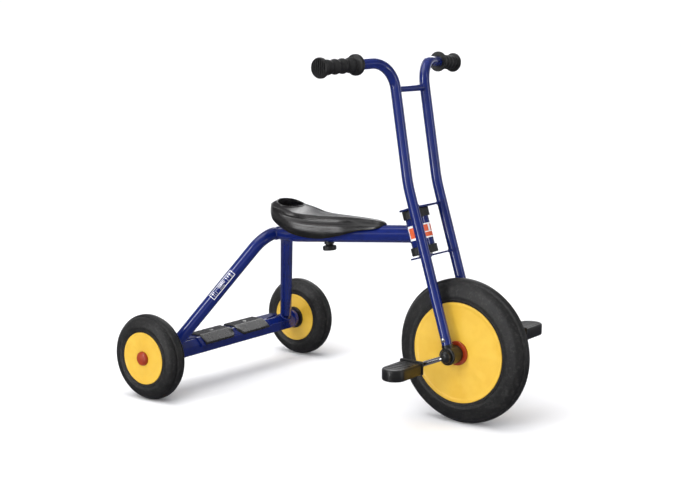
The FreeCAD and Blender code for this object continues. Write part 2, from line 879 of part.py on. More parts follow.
def seat_knob():
    stem_top = -22.8
    body_top = -27.0
    bottom = -37.0
    insert_radius = 6.5
    outline = [
        (0, bottom),
        (knob_radius, bottom),
        (knob_radius, body_top),
        (8.5, body_top + 1.5),
        (8.2, stem_top),
        (insert_radius, stem_top),
        (insert_radius, bottom + 2.5),
        (0, bottom + 2.5),
    ]
    knob = turned(outline, clamp_point(0), tube_normal, [0, 3, 3, 2, 0, 0, 0, 0])
    lobes = 6
    scallop = 5.0
    for lobe in range(lobes):
        angle = 360.0 * lobe / lobes
        notch_axis = FreeCAD.Rotation(tube_normal, angle).multVec(across) * (knob_radius + 2.6)
        notch = rod(scallop, clamp_point(bottom - 1) + notch_axis, clamp_point(body_top + 2) + notch_axis)
        knob = knob.cut(notch)
    save("seat_knob", knob)
    insert = rod(insert_radius, clamp_point(bottom + 2.5), clamp_point(stem_top))
    insert = insert.cut(rod(seat_bolt_radius + running_gap, clamp_point(-34.2), clamp_point(stem_top)))
    save("seat_knob_insert", insert)


def main():
    os.makedirs("parts", exist_ok=True)
    frame()
    steering()
    front_wheel()
    pedals()
    rear_wheels()
    seat()
    seat_knob()


main()
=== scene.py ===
import json
import math
import bmesh
import bpy
from mathutils import Matrix, Vector
from mathutils.bvhtree import BVHTree


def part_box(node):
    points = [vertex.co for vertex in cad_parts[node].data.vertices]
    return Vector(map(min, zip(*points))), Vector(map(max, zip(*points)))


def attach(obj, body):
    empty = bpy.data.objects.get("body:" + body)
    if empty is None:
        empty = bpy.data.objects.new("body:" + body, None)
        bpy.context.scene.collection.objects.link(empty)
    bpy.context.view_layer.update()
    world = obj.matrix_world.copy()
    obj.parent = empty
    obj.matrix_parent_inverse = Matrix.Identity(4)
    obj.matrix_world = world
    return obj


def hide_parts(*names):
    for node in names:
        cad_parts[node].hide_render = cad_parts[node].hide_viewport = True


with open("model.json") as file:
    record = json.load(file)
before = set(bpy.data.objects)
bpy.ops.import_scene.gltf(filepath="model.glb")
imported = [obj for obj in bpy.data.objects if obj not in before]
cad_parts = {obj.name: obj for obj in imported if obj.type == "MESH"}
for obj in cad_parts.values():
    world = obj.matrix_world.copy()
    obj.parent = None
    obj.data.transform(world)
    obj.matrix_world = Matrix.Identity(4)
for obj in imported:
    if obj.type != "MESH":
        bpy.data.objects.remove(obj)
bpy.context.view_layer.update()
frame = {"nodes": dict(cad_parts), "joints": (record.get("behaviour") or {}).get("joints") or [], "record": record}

nodes = frame["nodes"]
joints = {joint["name"]: joint for joint in frame["joints"]}
across = Vector((0, 1, 0))
up = Vector((0, 0, 1))
forwards = Vector((1, 0, 0))
sides = {"right": -1, "left": 1}


def jointPoint(name):
    return Vector(joints[name]["pos_m"])


def jointAxis(name):
    return Vector(joints[name]["axis"]).normalized()


headAxis = jointAxis("steering_turn")
headCentre = jointPoint("steering_turn")
tubeAxis = jointAxis("seat_slide")
tubeNormal = jointAxis("seat_knob_turn")


def link(tree, source, target):
    tree.links.new(source, target)


def addNode(tree, kind, **values):
    node = tree.nodes.new(kind)
    for name, value in values.items():
        if name in node.inputs:
            node.inputs[name].default_value = value
        else:
            setattr(node, name, value)
    return node


def mixSockets(mix):
    return [socket for socket in mix.inputs if socket.type == "RGBA"]


def mixResult(mix):
    return [socket for socket in mix.outputs if socket.type == "RGBA"][0]


def plainFinish(name, sockets):
    material = bpy.data.materials.new(name)
    material.use_nodes = True
    shader = material.node_tree.nodes["Principled BSDF"]
    for socket, value in sockets.items():
        shader.inputs[socket].default_value = value
    return material, material.node_tree, shader


def noiseOn(tree, scale, detail=3.0, roughness=0.55, stretch=None):
    place = addNode(tree, "ShaderNodeTexCoord")
    texture = addNode(tree, "ShaderNodeTexNoise", Scale=scale, Detail=detail, Roughness=roughness)
    if stretch:
        mapping = addNode(tree, "ShaderNodeMapping")
        mapping.inputs["Scale"].default_value = stretch
        link(tree, place.outputs["Object"], mapping.inputs["Vector"])
        link(tree, mapping.outputs["Vector"], texture.inputs["Vector"])
    else:
        link(tree, place.outputs["Object"], texture.inputs["Vector"])
    return texture


def colourRamp(tree, factor, stops):
    ramp = addNode(tree, "ShaderNodeValToRGB")
    elements = ramp.color_ramp.elements
    elements[0].position, elements[0].color = stops[0][0], (*stops[0][1], 1)
    elements[1].position, elements[1].color = stops[-1][0], (*stops[-1][1], 1)
    for position, colour in stops[1:-1]:
        element = elements.new(position)
        element.color = (*colour, 1)
    link(tree, factor, ramp.inputs["Fac"])
    return ramp


def roughnessFrom(tree, shader, factor, low, high):
    spread = addNode(tree, "ShaderNodeMapRange")
    spread.inputs["To Min"].default_value = low
    spread.inputs["To Max"].default_value = high
    link(tree, factor, spread.inputs["Value"])
    link(tree, spread.outputs["Result"], shader.inputs["Roughness"])


def bumpFrom(tree, shader, heights, coat=False):
    # each height is a socket, a strength and a distance in metres
    last = None
    for height, strength, distance in heights:
        bump = addNode(tree, "ShaderNodeBump", Strength=strength, Distance=distance)
        link(tree, height, bump.inputs["Height"])
        if last:
            link(tree, last.outputs["Normal"], bump.inputs["Normal"])
        last = bump
    link(tree, last.outputs["Normal"], shader.inputs["Normal"])
    if coat:
        link(tree, last.outputs["Normal"], shader.inputs["Coat Normal"])


# one colour shows through another where the mask is white
def mixedOver(tree, shader, base, mask, colour):
    mix = addNode(tree, "ShaderNodeMix", data_type="RGBA")
    link(tree, mask.outputs["Color"], mix.inputs["Factor"])
    link(tree, base.outputs["Color"], mixSockets(mix)[0])
    mixSockets(mix)[1].default_value = (*colour, 1)
    link(tree, mixResult(mix), shader.inputs["Base Color"])


bluePaintLook = {
    "deep": (0.0026, 0.0078, 0.068),
    "body": (0.0034, 0.0112, 0.104),
    "worn": (0.020, 0.030, 0.16),
    "blotches": 14.0,
    "blotchRelief": (0.04, 0.002),    # strength, then distance in metres
    "scuffScale": 190.0,
    "scuffEdge": (0.70, 0.78),
    "orangePeel": 420.0,
    "peelRelief": (0.05, 0.0004),
    "roughness": (0.16, 0.30),
}


def makeBluePaint():
    look = bluePaintLook
    material, tree, shader = plainFinish("bluePaint", {
        "Coat Weight": 1.0,
        "Coat Roughness": 0.04,
        "Specular IOR Level": 0.2,
        "IOR": 1.5,
    })
    blotch = noiseOn(tree, look["blotches"])
    ramp = colourRamp(tree, blotch.outputs["Fac"], [
        (0.25, look["deep"]), (0.55, look["body"]), (0.9, look["body"])])
    scuffs = noiseOn(tree, look["scuffScale"], 6.0, 0.7)
    start, full = look["scuffEdge"]
    scuffMask = colourRamp(tree, scuffs.outputs["Fac"], [(start, (0, 0, 0)), (full, (1, 1, 1))])
    mixedOver(tree, shader, ramp, scuffMask, look["worn"])
    roughnessFrom(tree, shader, blotch.outputs["Fac"], *look["roughness"])
    peel = noiseOn(tree, look["orangePeel"], 1.0)
    reliefs = [(peel.outputs["Fac"], *look["peelRelief"]), (blotch.outputs["Fac"], *look["blotchRelief"])]
    bumpFrom(tree, shader, reliefs, coat=True)
    return material


# solid tyre rubber: dusty, with fine pale scuffs
tyreLook = {
    "dark": (0.0032, 0.0032, 0.0033),
    "dusty": (0.0092, 0.0090, 0.0087),
    "scuffed": (0.034, 0.033, 0.0315),
    "dustScale": 38.0,
    "dustEdge": (0.35, 0.72),
    "scuffScale": 150.0,
    "scuffEdge": (0.50, 0.70),
    "scuffMost": (0.85, 0.85, 0.85),
    "scuffRelief": (0.25, 0.0012),
    "grain": 700.0,
    "grainRelief": (0.5, 0.0006),
    "roughness": (0.34, 0.66),
}


def makeTyreRubber():
    look = tyreLook
    material, tree, shader = plainFinish("tyreRubber", {"Specular IOR Level": 0.42, "IOR": 1.5})
    dust = noiseOn(tree, look["dustScale"], 9.0, 0.78)
    start, full = look["dustEdge"]
    ramp = colourRamp(tree, dust.outputs["Fac"], [(start, look["dark"]), (full, look["dusty"])])
    scuffs = noiseOn(tree, look["scuffScale"], 8.0, 0.75)
    start, full = look["scuffEdge"]
    scuffMask = colourRamp(tree, scuffs.outputs["Fac"], [(start, (0, 0, 0)), (full, look["scuffMost"])])
    mixedOver(tree, shader, ramp, scuffMask, look["scuffed"])
    roughnessFrom(tree, shader, scuffs.outputs["Fac"], *look["roughness"])
    grain = noiseOn(tree, look["grain"], 4.0, 0.6)
    reliefs = [(grain.outputs["Fac"], *look["grainRelief"]), (scuffs.outputs["Fac"], *look["scuffRelief"])]
    bumpFrom(tree, shader, reliefs)
    return material


# plastic, rubber and printed film: two cloudy colours, cloud scale, roughness range, grain scale and depth
mouldedLooks = {
    "yellowPlastic": {"dark": (0.545, 0.322, 0.025), "light": (0.61, 0.382, 0.040), "clouds": 18.0,
                      "rough": (0.32, 0.5), "grain": 700.0, "grainDepth": 0.0004, "coat": 0.15,
                      "scratch": 60.0},
    "redPlastic": {"dark": (0.20, 0.018, 0.002), "light": (0.27, 0.028, 0.003), "clouds": 60.0,
                   "rough": (0.28, 0.45), "grain": 900.0, "grainDepth": 0.0003, "coat": 0.2},
    "gripRubber": {"dark": (0.0045, 0.0045, 0.0045), "light": (0.0095, 0.0095, 0.0093), "clouds": 70.0,
                   "rough": (0.42, 0.6), "grain": 1100.0, "grainDepth": 0.0005},
    "padRubber": {"dark": (0.005, 0.005, 0.005), "light": (0.011, 0.011, 0.0108), "clouds": 60.0,
                  "rough": (0.20, 0.36), "grain": 800.0, "grainDepth": 0.0004},
    "blackPlastic": {"dark": (0.004, 0.004, 0.004), "light": (0.008, 0.008, 0.0078), "clouds": 45.0,
                     "rough": (0.26, 0.42), "grain": 1300.0, "grainDepth": 0.0003, "coat": 0.1},
    "seatPlastic": {"dark": (0.005, 0.0048, 0.0046), "light": (0.009, 0.0087, 0.0083), "clouds": 30.0,
                    "rough": (0.16, 0.30), "grain": 1500.0, "grainDepth": 0.0004},
    "nylon": {"dark": (0.62, 0.61, 0.57), "light": (0.74, 0.73, 0.69), "clouds": 90.0,
              "rough": (0.35, 0.5), "grain": 900.0, "grainDepth": 0.0003},
    "labelWhite": {"dark": (0.66, 0.66, 0.68), "light": (0.80, 0.80, 0.82), "clouds": 120.0,
                   "rough": (0.25, 0.4), "grain": 900.0, "grainDepth": 0.0002},
    "labelRed": {"dark": (0.52, 0.070, 0.016), "light": (0.66, 0.11, 0.030), "clouds": 120.0,
                 "rough": (0.25, 0.4), "grain": 900.0, "grainDepth": 0.0002},
}


def makeMoulded(name, look):
    material, tree, shader = plainFinish(name, {
        "Coat Weight": look.get("coat", 0.0), "Coat Roughness": 0.12, "IOR": 1.48})
    clouds = noiseOn(tree, look["clouds"])
    ramp = colourRamp(tree, clouds.outputs["Fac"], [(0.3, look["dark"]), (0.7, look["light"])])
    link(tree, ramp.outputs["Color"], shader.inputs["Base Color"])
    roughnessFrom(tree, shader, clouds.outputs["Fac"], *look["rough"])
    fine = noiseOn(tree, look["grain"], 2.0)
    heights = [(fine.outputs["Fac"], 0.25, look["grainDepth"]), (clouds.outputs["Fac"], 0.06, 0.002)]
    if "scratch" in look:
        lines = noiseOn(tree, look["scratch"], 2.0, 0.5, stretch=(1.0, 8.0, 1.0))
        heights.append((lines.outputs["Fac"], 0.05, 0.0004))
    bumpFrom(tree, shader, heights)
    return material


# plated steel and silver print: streaks are stretched along one way
steelLooks = {
    "chrome": {"dark": (0.70, 0.70, 0.71), "light": (0.86, 0.86, 0.87), "rough": (0.10, 0.20),
               "streaks": 30.0, "stretch": (1, 1, 1)},
    "zincSteel": {"dark": (0.46, 0.46, 0.45), "light": (0.68, 0.68, 0.66), "rough": (0.22, 0.4),
                  "streaks": 300.0, "stretch": (1, 5, 1)},
    "labelSilver": {"dark": (0.50, 0.50, 0.56), "light": (0.78, 0.78, 0.84), "rough": (0.3, 0.5),
                    "streaks": 240.0, "stretch": (1, 1, 1)},
}


def makeSteel(name, look):
    material, tree, shader = plainFinish(name, {"Metallic": 1.0})
    streaks = noiseOn(tree, look["streaks"], 4.0, 0.6, look["stretch"])
    ramp = colourRamp(tree, streaks.outputs["Fac"], [(0.3, look["dark"]), (0.7, look["light"])])
    link(tree, ramp.outputs["Color"], shader.inputs["Base Color"])
    roughnessFrom(tree, shader, streaks.outputs["Fac"], *look["rough"])
    bumpFrom(tree, shader, [(streaks.outputs["Fac"], 0.05, 0.0003)])
    return material


finish = {"bluePaint": makeBluePaint(), "tyreRubber": makeTyreRubber()}
for name, look in mouldedLooks.items():
    finish[name] = makeMoulded(name, look)
for name, look in steelLooks.items():
    finish[name] = makeSteel(name, look)

slotFinish = {
    "blue_paint": "bluePaint",
    "yellow_plastic": "yellowPlastic",
    "red_plastic": "redPlastic",
    "tyre_rubber": "tyreRubber",
    "grip_rubber": "gripRubber",
    "black_plastic": "blackPlastic",
    "nylon": "nylon",
    "chrome": "chrome",
    "zinc_steel": "zincSteel",
}

for subpart in frame["record"]["subparts"]:
    mesh = nodes[subpart["node"]].data
    mesh.materials.clear()
    mesh.materials.append(finish[slotFinish[subpart["material_slot"]]])
print("finishes:", len(finish))


# a finished mesh becomes a piece on its body, in place of the plain nodes it stands for
def addPiece(name, mesh, body, look, stands=(), sharp=35.0):
    mesh.materials.clear()
    mesh.materials.append(finish[look])
    mesh.polygons.foreach_set("use_smooth", [True] * len(mesh.polygons))
    mesh.set_sharp_from_angle(angle=math.radians(sharp))
    piece = bpy.data.objects.new(name, mesh)
    bpy.context.scene.collection.objects.link(piece)
    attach(piece, body)
    if stands:
        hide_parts(*stands)
    return piece


def meshFrom(name, verts, faces):
    mesh = bpy.data.meshes.new(name)
    mesh.from_pydata([tuple(v) for v in verts], [], faces)
    shape = bmesh.new()
    shape.from_mesh(mesh)
    bmesh.ops.remove_doubles(shape, verts=shape.verts, dist=0.000002)
    bmesh.ops.recalc_face_normals(shape, faces=shape.faces)
    shape.to_mesh(mesh)
    shape.free()
    return mesh


def joinMeshes(name, meshes):
    shape = bmesh.new()
    for mesh in meshes:
        shape.from_mesh(mesh)
        bpy.data.meshes.remove(mesh)
    joined = bpy.data.meshes.new(name)
    shape.to_mesh(joined)
    shape.free()
    return joined


def withModifiers(mesh, modifiers):
    holder = bpy.data.objects.new("holder", mesh)
    bpy.context.scene.collection.objects.link(holder)
    for kind, settings in modifiers:
        modifier = holder.modifiers.new(kind, kind)
        for key, value in settings.items():
            setattr(modifier, key, value)
    graph = bpy.context.evaluated_depsgraph_get()
    result = bpy.data.meshes.new_from_object(holder.evaluated_get(graph))
    bpy.data.objects.remove(holder)
    bpy.data.meshes.remove(mesh)
    return result


def carve(mesh, cutters):
    for cutter in cutters:
        tool = bpy.data.objects.new("cutter", cutter)
        bpy.context.scene.collection.objects.link(tool)
        settings = {"object": tool, "operation": "DIFFERENCE", "solver": "EXACT"}
        mesh = withModifiers(mesh, [("BOOLEAN", settings)])
        bpy.data.objects.remove(tool)
        bpy.data.meshes.remove(cutter)
    return mesh


def roundCorners(rows, steps=5):
    # a row is a corner's two places and its bend radius; each corner of the closed outline becomes an arc
    result = []
    points = [Vector(row[:2]) for row in rows]
    for index, corner in enumerate(points):
        radius = rows[index][2]
        if radius == 0:
            result.append(corner)
            continue
        before = points[index - 1] - corner
        after = points[(index + 1) % len(points)] - corner
        half = before.angle(after) / 2
        reach = min(radius / math.tan(half), 0.49 * before.length, 0.49 * after.length)
        radius = reach * math.tan(half)
        middle = corner + (before.normalized() + after.normalized()).normalized() * (radius / math.sin(half))
        first = corner + before.normalized() * reach - middle
        last = corner + after.normalized() * reach - middle
        sweep = first.angle(last)
        for step in range(steps + 1):
            part = step / steps
            weightA = math.sin((1 - part) * sweep) / math.sin(sweep)
            weightB = math.sin(part * sweep) / math.sin(sweep)
            result.append(middle + first * weightA + last * weightB)
    return result


def divided(outline, longest):
    result = []
    for index, point in enumerate(outline):
        following = outline[(index + 1) % len(outline)]
        count = max(1, math.ceil((following - point).length / longest))
        for step in range(count):
            result.append(point.lerp(following, step / count))
    return result


def frameFor(axis):
    axis = axis.normalized()
    first = axis.orthogonal().normalized()
    if abs(axis.y) > 0.9:
        first = Vector((1, 0, 0))
    second = axis.cross(first).normalized()
    return first, second


def turned(name, outline, centre, axis, segments=128, relief=None):
    # the outline holds a radius and a station along the axis; relief moves a point out and along
    first, second = frameFor(axis)
    axis = axis.normalized()
    verts = []
    faces = []
    count = len(outline)
    for step in range(segments):
        angle = 2 * math.pi * step / segments
        out = first * math.cos(angle) + second * math.sin(angle)
        for radius, station in outline:
            if relief and radius > 0.0001:
                swell, lift = relief(angle, radius, station)
                radius, station = radius + swell, station + lift
            verts.append(centre + out * radius + axis * station)
    for step in range(segments):
        here = step * count
        there = ((step + 1) % segments) * count
        for index in range(count):
            after = (index + 1) % count
            faces.append((here + index, here + after, there + after, there + index))
    return meshFrom(name, verts, faces)


def prism(name, outline, origin, first, second, along, length):
    count = len(outline)
    base = [origin + first * u + second * v for u, v in outline]
    verts = base + [point + along * length for point in base]
    faces = [tuple(range(count)), tuple(range(2 * count - 1, count - 1, -1))]
    for index in range(count):
        after = (index + 1) % count
        faces.append((index, after, after + count, index + count))
    return meshFrom(name, verts, faces)


def ringOfPoints(point, first, second, size, around):
    angles = [2 * math.pi * step / around for step in range(around)]
    return [point + (first * math.cos(angle) + second * math.sin(angle)) * size for angle in angles]


def tubeFaces(rings, around, closed):
    faces = []
    for index in range(rings if closed else rings - 1):
        here = index * around
        there = ((index + 1) % rings) * around
        for step in range(around):
            after = (step + 1) % around
            faces.append((here + step, here + after, there + after, there + step))
    return faces


def closedTube(name, path, radius, around, ripple=None):
    count = len(path)
    verts = []
    for index, point in enumerate(path):
        tangent = (path[(index + 1) % count] - path[index - 1]).normalized()
        first = tangent.cross(up)
        if first.length < 0.2:
            first = tangent.cross(across)
        first.normalize()
        second = tangent.cross(first).normalized()
        size = radius * (ripple(index / count) if ripple else 1.0)
        verts += ringOfPoints(point, first, second, size, around)
    return meshFrom(name, verts, tubeFaces(count, around, True))


def smoothStep(value, low, high):
    part = min(1.0, max(0.0, (value - low) / (high - low)))
    return part * part * (3 - 2 * part)


tyreDetail = {
    "beadRise": 0.0045,       # from the disc's rim to the crest of the bead
    "wallRise": 0.012,
    "grooveSide": 0.0105,     # a groove round each side of the tread
    "grooveHalfWidth": 0.0030,
    "grooveDepth": 0.0042,
    "mouldPips": 36,
    "pipRise": 0.016,
    "pipWidth": 0.0012,
    "pipHeight": 0.0005,
    "step": 0.0009,
    "front": {"halfFace": 0.0255, "halfWidth": 0.027, "drop": 0.0115, "segments": 288},
    "rear": {"halfFace": 0.0225, "halfWidth": 0.025, "drop": 0.008, "segments": 216},
}


def tyreOutline(radius, seatRadius, halfFace, halfWidth, drop):
    bead = seatRadius + tyreDetail["beadRise"]
    half = [
        (seatRadius, halfFace, 0.0008),
        (bead - 0.0012, halfFace + 0.0004, 0.0003),
        (bead, halfFace + 0.0012, 0.0005),
        (bead + 0.0014, halfFace + 0.0006, 0.0003),
        (seatRadius + tyreDetail["wallRise"], halfWidth, 0.010),
        (radius - drop, 0.8 * halfWidth, 0.020),
        (radius, 0.22 * halfWidth, 0.016),
    ]
    outline = half + [(r, -y, bend) for r, y, bend in reversed(half)]
    width = tyreDetail["grooveHalfWidth"]
    shaped = []
    for r, y in divided(roundCorners(outline, 8), tyreDetail["step"]):
        near = abs(abs(y) - tyreDetail["grooveSide"])
        if near < width and r > seatRadius + 0.02:
            r -= tyreDetail["grooveDepth"] * (1 - smoothStep(near, 0.35 * width, width))
        shaped.append((r, y))
    return shaped


def makeTyre(node, discNode, centre, body, size):
    low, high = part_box(node)
    radius = (high.z - low.z) / 2
    discLow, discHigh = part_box(discNode)
    seatRadius = (discHigh.z - discLow.z) / 2
    outline = tyreOutline(radius, seatRadius, size["halfFace"], size["halfWidth"], size["drop"])

    def relief(angle, r, station):
        ring = math.exp(-((r - seatRadius - tyreDetail["pipRise"]) / tyreDetail["pipWidth"]) ** 2)
        beat = max(0.0, math.cos(angle * tyreDetail["mouldPips"])) ** 12
        return 0.0, math.copysign(tyreDetail["pipHeight"], station) * ring * beat

    mesh = turned(node + "_moulding", outline, centre, across, size["segments"], relief)
    addPiece(node + "_moulding", mesh, body, "tyreRubber", [node], sharp=50)


frontCentre = jointPoint("front_wheel_spin")
rearCentres = {side: jointPoint("rear_wheel_" + side + "_spin") for side in sides}
makeTyre("front_tyre", "front_disc_right", frontCentre, "front_wheel", tyreDetail["front"])
for side in sides:
    makeTyre("rear_tyre_" + side, "rear_disc_outer_" + side, rearCentres[side], "rear_wheel_" + side,
             tyreDetail["rear"])
print("tyres done")


discDetail = {
    "fluteDepth": 0.00034,    # faint petals moulded into the face
    "ringRadius": 0.72,       # part of the rim's radius
    "ringDepth": 0.0004,
    "ringWidth": 0.0012,
    "faceStart": 0.015,       # only the outward face is moulded
    "segments": 240,
    "frontFlutes": 9,
    "rearFlutes": 8,
}


def makeDisc(node, centre, axis, body, corners, flutes):
    low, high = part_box(node)
    rim = (high.z - low.z) / 2
    outline = divided(roundCorners(corners(rim)), 0.003)

    def relief(angle, r, station):
        if station < discDetail["faceStart"]:
            return 0.0, 0.0
        band = smoothStep(r, 0.42 * rim, 0.55 * rim) * (1 - smoothStep(r, 0.86 * rim, 0.93 * rim))
        ripple = discDetail["fluteDepth"] * (2 * abs(math.cos(angle * flutes / 2)) ** 6 - 1)
        away = (r - discDetail["ringRadius"] * rim) / discDetail["ringWidth"]
        return 0.0, band * ripple - discDetail["ringDepth"] * math.exp(-away ** 2)

    mesh = turned(node + "_face", outline, centre, axis, discDetail["segments"], relief)
    addPiece(node + "_face", mesh, body, "yellowPlastic", [node])


def frontDiscCorners(rim):
    return [
        (0.0141, 0, 0), (0.0141, 0.026, 0), (0.030, 0.026, 0.008),
        (rim - 0.0100, 0.0255, 0.003), (rim - 0.0059, 0.0262, 0.002), (rim - 0.0006, 0.0262, 0.001),
        (rim - 0.0006, 0, 0), (rim - 0.003, 0, 0), (rim - 0.003, 0.0215, 0.002),
        (0.018, 0.0225, 0.002), (0.018, 0, 0),
    ]


def rearDiscCorners(rim):
    return [
        (0.0152, 0.012, 0), (0.0152, 0.0222, 0.0005),
        (rim - 0.0068, 0.0222, 0.002), (rim - 0.0042, 0.0228, 0.001), (rim - 0.0006, 0.0228, 0.001),
        (rim - 0.0006, 0, 0), (rim - 0.003, 0, 0), (rim - 0.003, 0.0185, 0.002),
        (0.019, 0.0185, 0.002), (0.019, 0.012, 0),
    ]


for side, sign in sides.items():
    makeDisc("front_disc_" + side, frontCentre, across * sign, "front_wheel", frontDiscCorners,
             discDetail["frontFlutes"])
    for face, direction in (("outer", 1), ("inner", -1)):
        makeDisc("rear_disc_" + face + "_" + side, rearCentres[side], across * sign * direction,
                 "rear_wheel_" + side, rearDiscCorners, discDetail["rearFlutes"])
print("discs done")


gripDetail = {
    "barRadius": 0.011,
    "flange": 0.0216,
    "flangeThick": 0.006,
    "endRadius": 0.0208,
    "endThick": 0.0055,
    "endWall": 0.005,
    "crest": 0.0160,
    "trough": 0.0122,
    "waveStart": 0.009,
    "waveEnd": 0.011,
    "waves": 4,
    "ribs": 36,
    "ribHeight": 0.00016,
    "slotPitch": 0.0048,      # slots across the end face
    "slotDepth": 0.0030,
    "boxFlange": 0.021,       # radii of the plain grip, which its box is drawn round
    "boxEnd": 0.0215,
    "run": Vector((-0.0213, 0.0976, -0.0049)),
    "segments": 168,
}


def gripAxis(sign):
    # the grip runs from one corner of its box to the other, less its own end radii
    low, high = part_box("grip_left")
    flange, end = gripDetail["boxFlange"], gripDetail["boxEnd"]
    run = gripDetail["run"].normalized()
    lean = [math.sqrt(1 - run[axis] ** 2) for axis in range(3)]
    start = Vector((high.x - flange * lean[0], low.y + flange * lean[1], high.z - flange * lean[2]))
    stop = Vector((low.x + end * lean[0], high.y - end * lean[1], low.z + end * lean[2]))
    return Vector((start.x, start.y * sign, start.z)), Vector((stop.x, stop.y * sign, stop.z))


def makeGrip(side, sign):
    detail = gripDetail
    start, stop = gripAxis(sign)
    length = (stop - start).length
    first, last = detail["waveStart"], length - detail["waveEnd"]
    pitch = (last - first) / detail["waves"]
    corners = [
        (detail["barRadius"], 0, 0),
        (detail["flange"], 0, 0.0015),
        (detail["flange"], detail["flangeThick"], 0.0022),
    ]
    for wave in range(detail["waves"]):
        corners.append((detail["trough"], first + wave * pitch, 0.006))
        corners.append((detail["crest"], first + (wave + 0.5) * pitch, 0.006))
    corners += [
        (detail["trough"], last, 0.005),
        (detail["endRadius"], length - detail["endThick"], 0.0015),
        (detail["endRadius"], length, 0.0028),
        (0, length, 0),
        (0, length - detail["endWall"], 0),
        (detail["barRadius"], length - detail["endWall"], 0),
    ]
    outline = divided(roundCorners(corners, 6), 0.0011)

    def relief(angle, r, station):
        swell = 0.0
        lift = 0.0
        if 0.010 < station < length - 0.013 and r > detail["trough"] + 0.0003:
            swell = detail["ribHeight"] * math.cos(angle * detail["ribs"])
        if station > length - 0.0015:
            slot = smoothStep(math.cos(2 * math.pi * r * math.cos(angle) / detail["slotPitch"]), -0.1, 0.5)
            lift = -detail["slotDepth"] * slot * (1 - smoothStep(r, 0.0176, 0.0190))
        return swell, lift

    name = "grip_moulding_" + side
    mesh = turned(name, outline, start, stop - start, detail["segments"], relief)
    addPiece(name, mesh, "steering", "gripRubber", ["grip_" + side], sharp=48)


for side, sign in sides.items():
    makeGrip(side, sign)
print("grips done")


pedalDetail = {
    "inner": 0.0845,
    "outer": 0.1738,
    "halfWidth": 0.026,
    "halfHeight": 0.0122,
    "bevel": 0.0038,
    "lipThick": 0.004,
    "lipHeight": 0.0045,
    "lipExtra": 0.0025,
    "lipBevel": 0.0012,
    "ribs": 6,
    "ribHeight": 0.0007,
    "ribHalfLength": 0.019,
    "ribHalfWidth": 0.0016,
    "ribCorner": 0.0014,
    "ribBevel": 0.0004,
    "ribSink": 0.001,         # how far a rib's foot stands in the block
    "ribStart": 0.012,
    "ribEnd": 0.008,
    "arcSteps": 24,
}


def bevelled(mesh, width, segments):
    return withModifiers(mesh, [("BEVEL", {"width": width, "segments": segments, "limit_method": "ANGLE"})])


def makePedal(side, sign):
    detail = pedalDetail
    spin = jointPoint("pedal_" + side + "_spin")
    centre = Vector((spin.x, 0, spin.z))
    out = across * sign
    wide, tall = detail["halfWidth"], detail["halfHeight"]
    straight = detail["outer"] - wide
    plan = [Vector((wide, detail["inner"])), Vector((wide, straight))]
    for step in range(1, detail["arcSteps"]):
        angle = math.pi * step / detail["arcSteps"]
        plan.append(Vector((wide * math.cos(angle), straight + wide * math.sin(angle))))
    plan += [Vector((-wide, straight)), Vector((-wide, detail["inner"]))]
    block = prism("pedalBlock", plan, centre - up * tall, forwards, out, up, 2 * tall)
    parts = [bevelled(block, detail["bevel"], 5)]
    lipWide = wide + detail["lipExtra"]
    lipTop = tall + detail["lipHeight"]
    lipOutline = roundCorners([
        (-lipWide, -tall, 0.003), (lipWide, -tall, 0.003),
        (lipWide, lipTop, 0.004), (-lipWide, lipTop, 0.004),
    ])
    lip = prism("lip", lipOutline, centre + out * detail["inner"], forwards, up, out, detail["lipThick"])
    parts.append(bevelled(lip, detail["lipBevel"], 3))
    long, thin, sink = detail["ribHalfLength"], detail["ribHalfWidth"], detail["ribSink"]
    ribCorners = ((-long, -thin), (long, -thin), (long, thin), (-long, thin))
    ribOutline = roundCorners([(u, v, detail["ribCorner"]) for u, v in ribCorners], 3)
    first = detail["inner"] + detail["ribStart"]
    pitch = (straight + detail["ribEnd"] - first) / (detail["ribs"] - 1)
    for index in range(detail["ribs"]):
        for face in (-1, 1):
            foot = centre + out * (first + index * pitch) + up * face * (tall - sink)
            rib = prism("rib", ribOutline, foot, forwards, out, up * face, sink + detail["ribHeight"])
            parts.append(bevelled(rib, detail["ribBevel"], 2))
    name = "pedal_block_" + side
    mesh = joinMeshes(name, parts)
    addPiece(name, mesh, "pedal_" + side, "blackPlastic", ["pedal_" + side], sharp=40)


for side, sign in sides.items():
    makePedal(side, sign)
print("pedals done")


# black boots over the crank's elbows
bootDetail = {"radius": 0.0128, "foot": 0.0663, "height": 0.0135, "segments": 96}
foot, height, wide = bootDetail["foot"], bootDetail["height"], bootDetail["radius"]
bootOutline = roundCorners([
    (0, foot, 0), (wide, foot, 0.0008), (wide, foot + 0.55 * height, 0.006),
    (0.55 * wide, foot + height, 0.006), (0, foot + height, 0),
], 8)
for side, sign in sides.items():
    boot = turned("crank_boot_" + side, bootOutline, frontCentre, across * sign, bootDetail["segments"])
    addPiece("crank_boot_" + side, boot, "front_wheel", "blackPlastic")


padDetail = {
    "thick": 0.0040,
    "frontEdge": 0.008,       # where the pad turns down, ahead of the beam's middle
    "endRadius": 0.005,
    "endDrop": 0.0012,
    "cutBack": 0.016,         # the inner front corner is cut away over this length
    "cutLift": 0.012,
    "ridges": 9,
    "ridgeHeight": 0.00035,
    "ridgeRun": 0.05,
    "ridgeMargin": 0.006,
    "stations": 72,
}


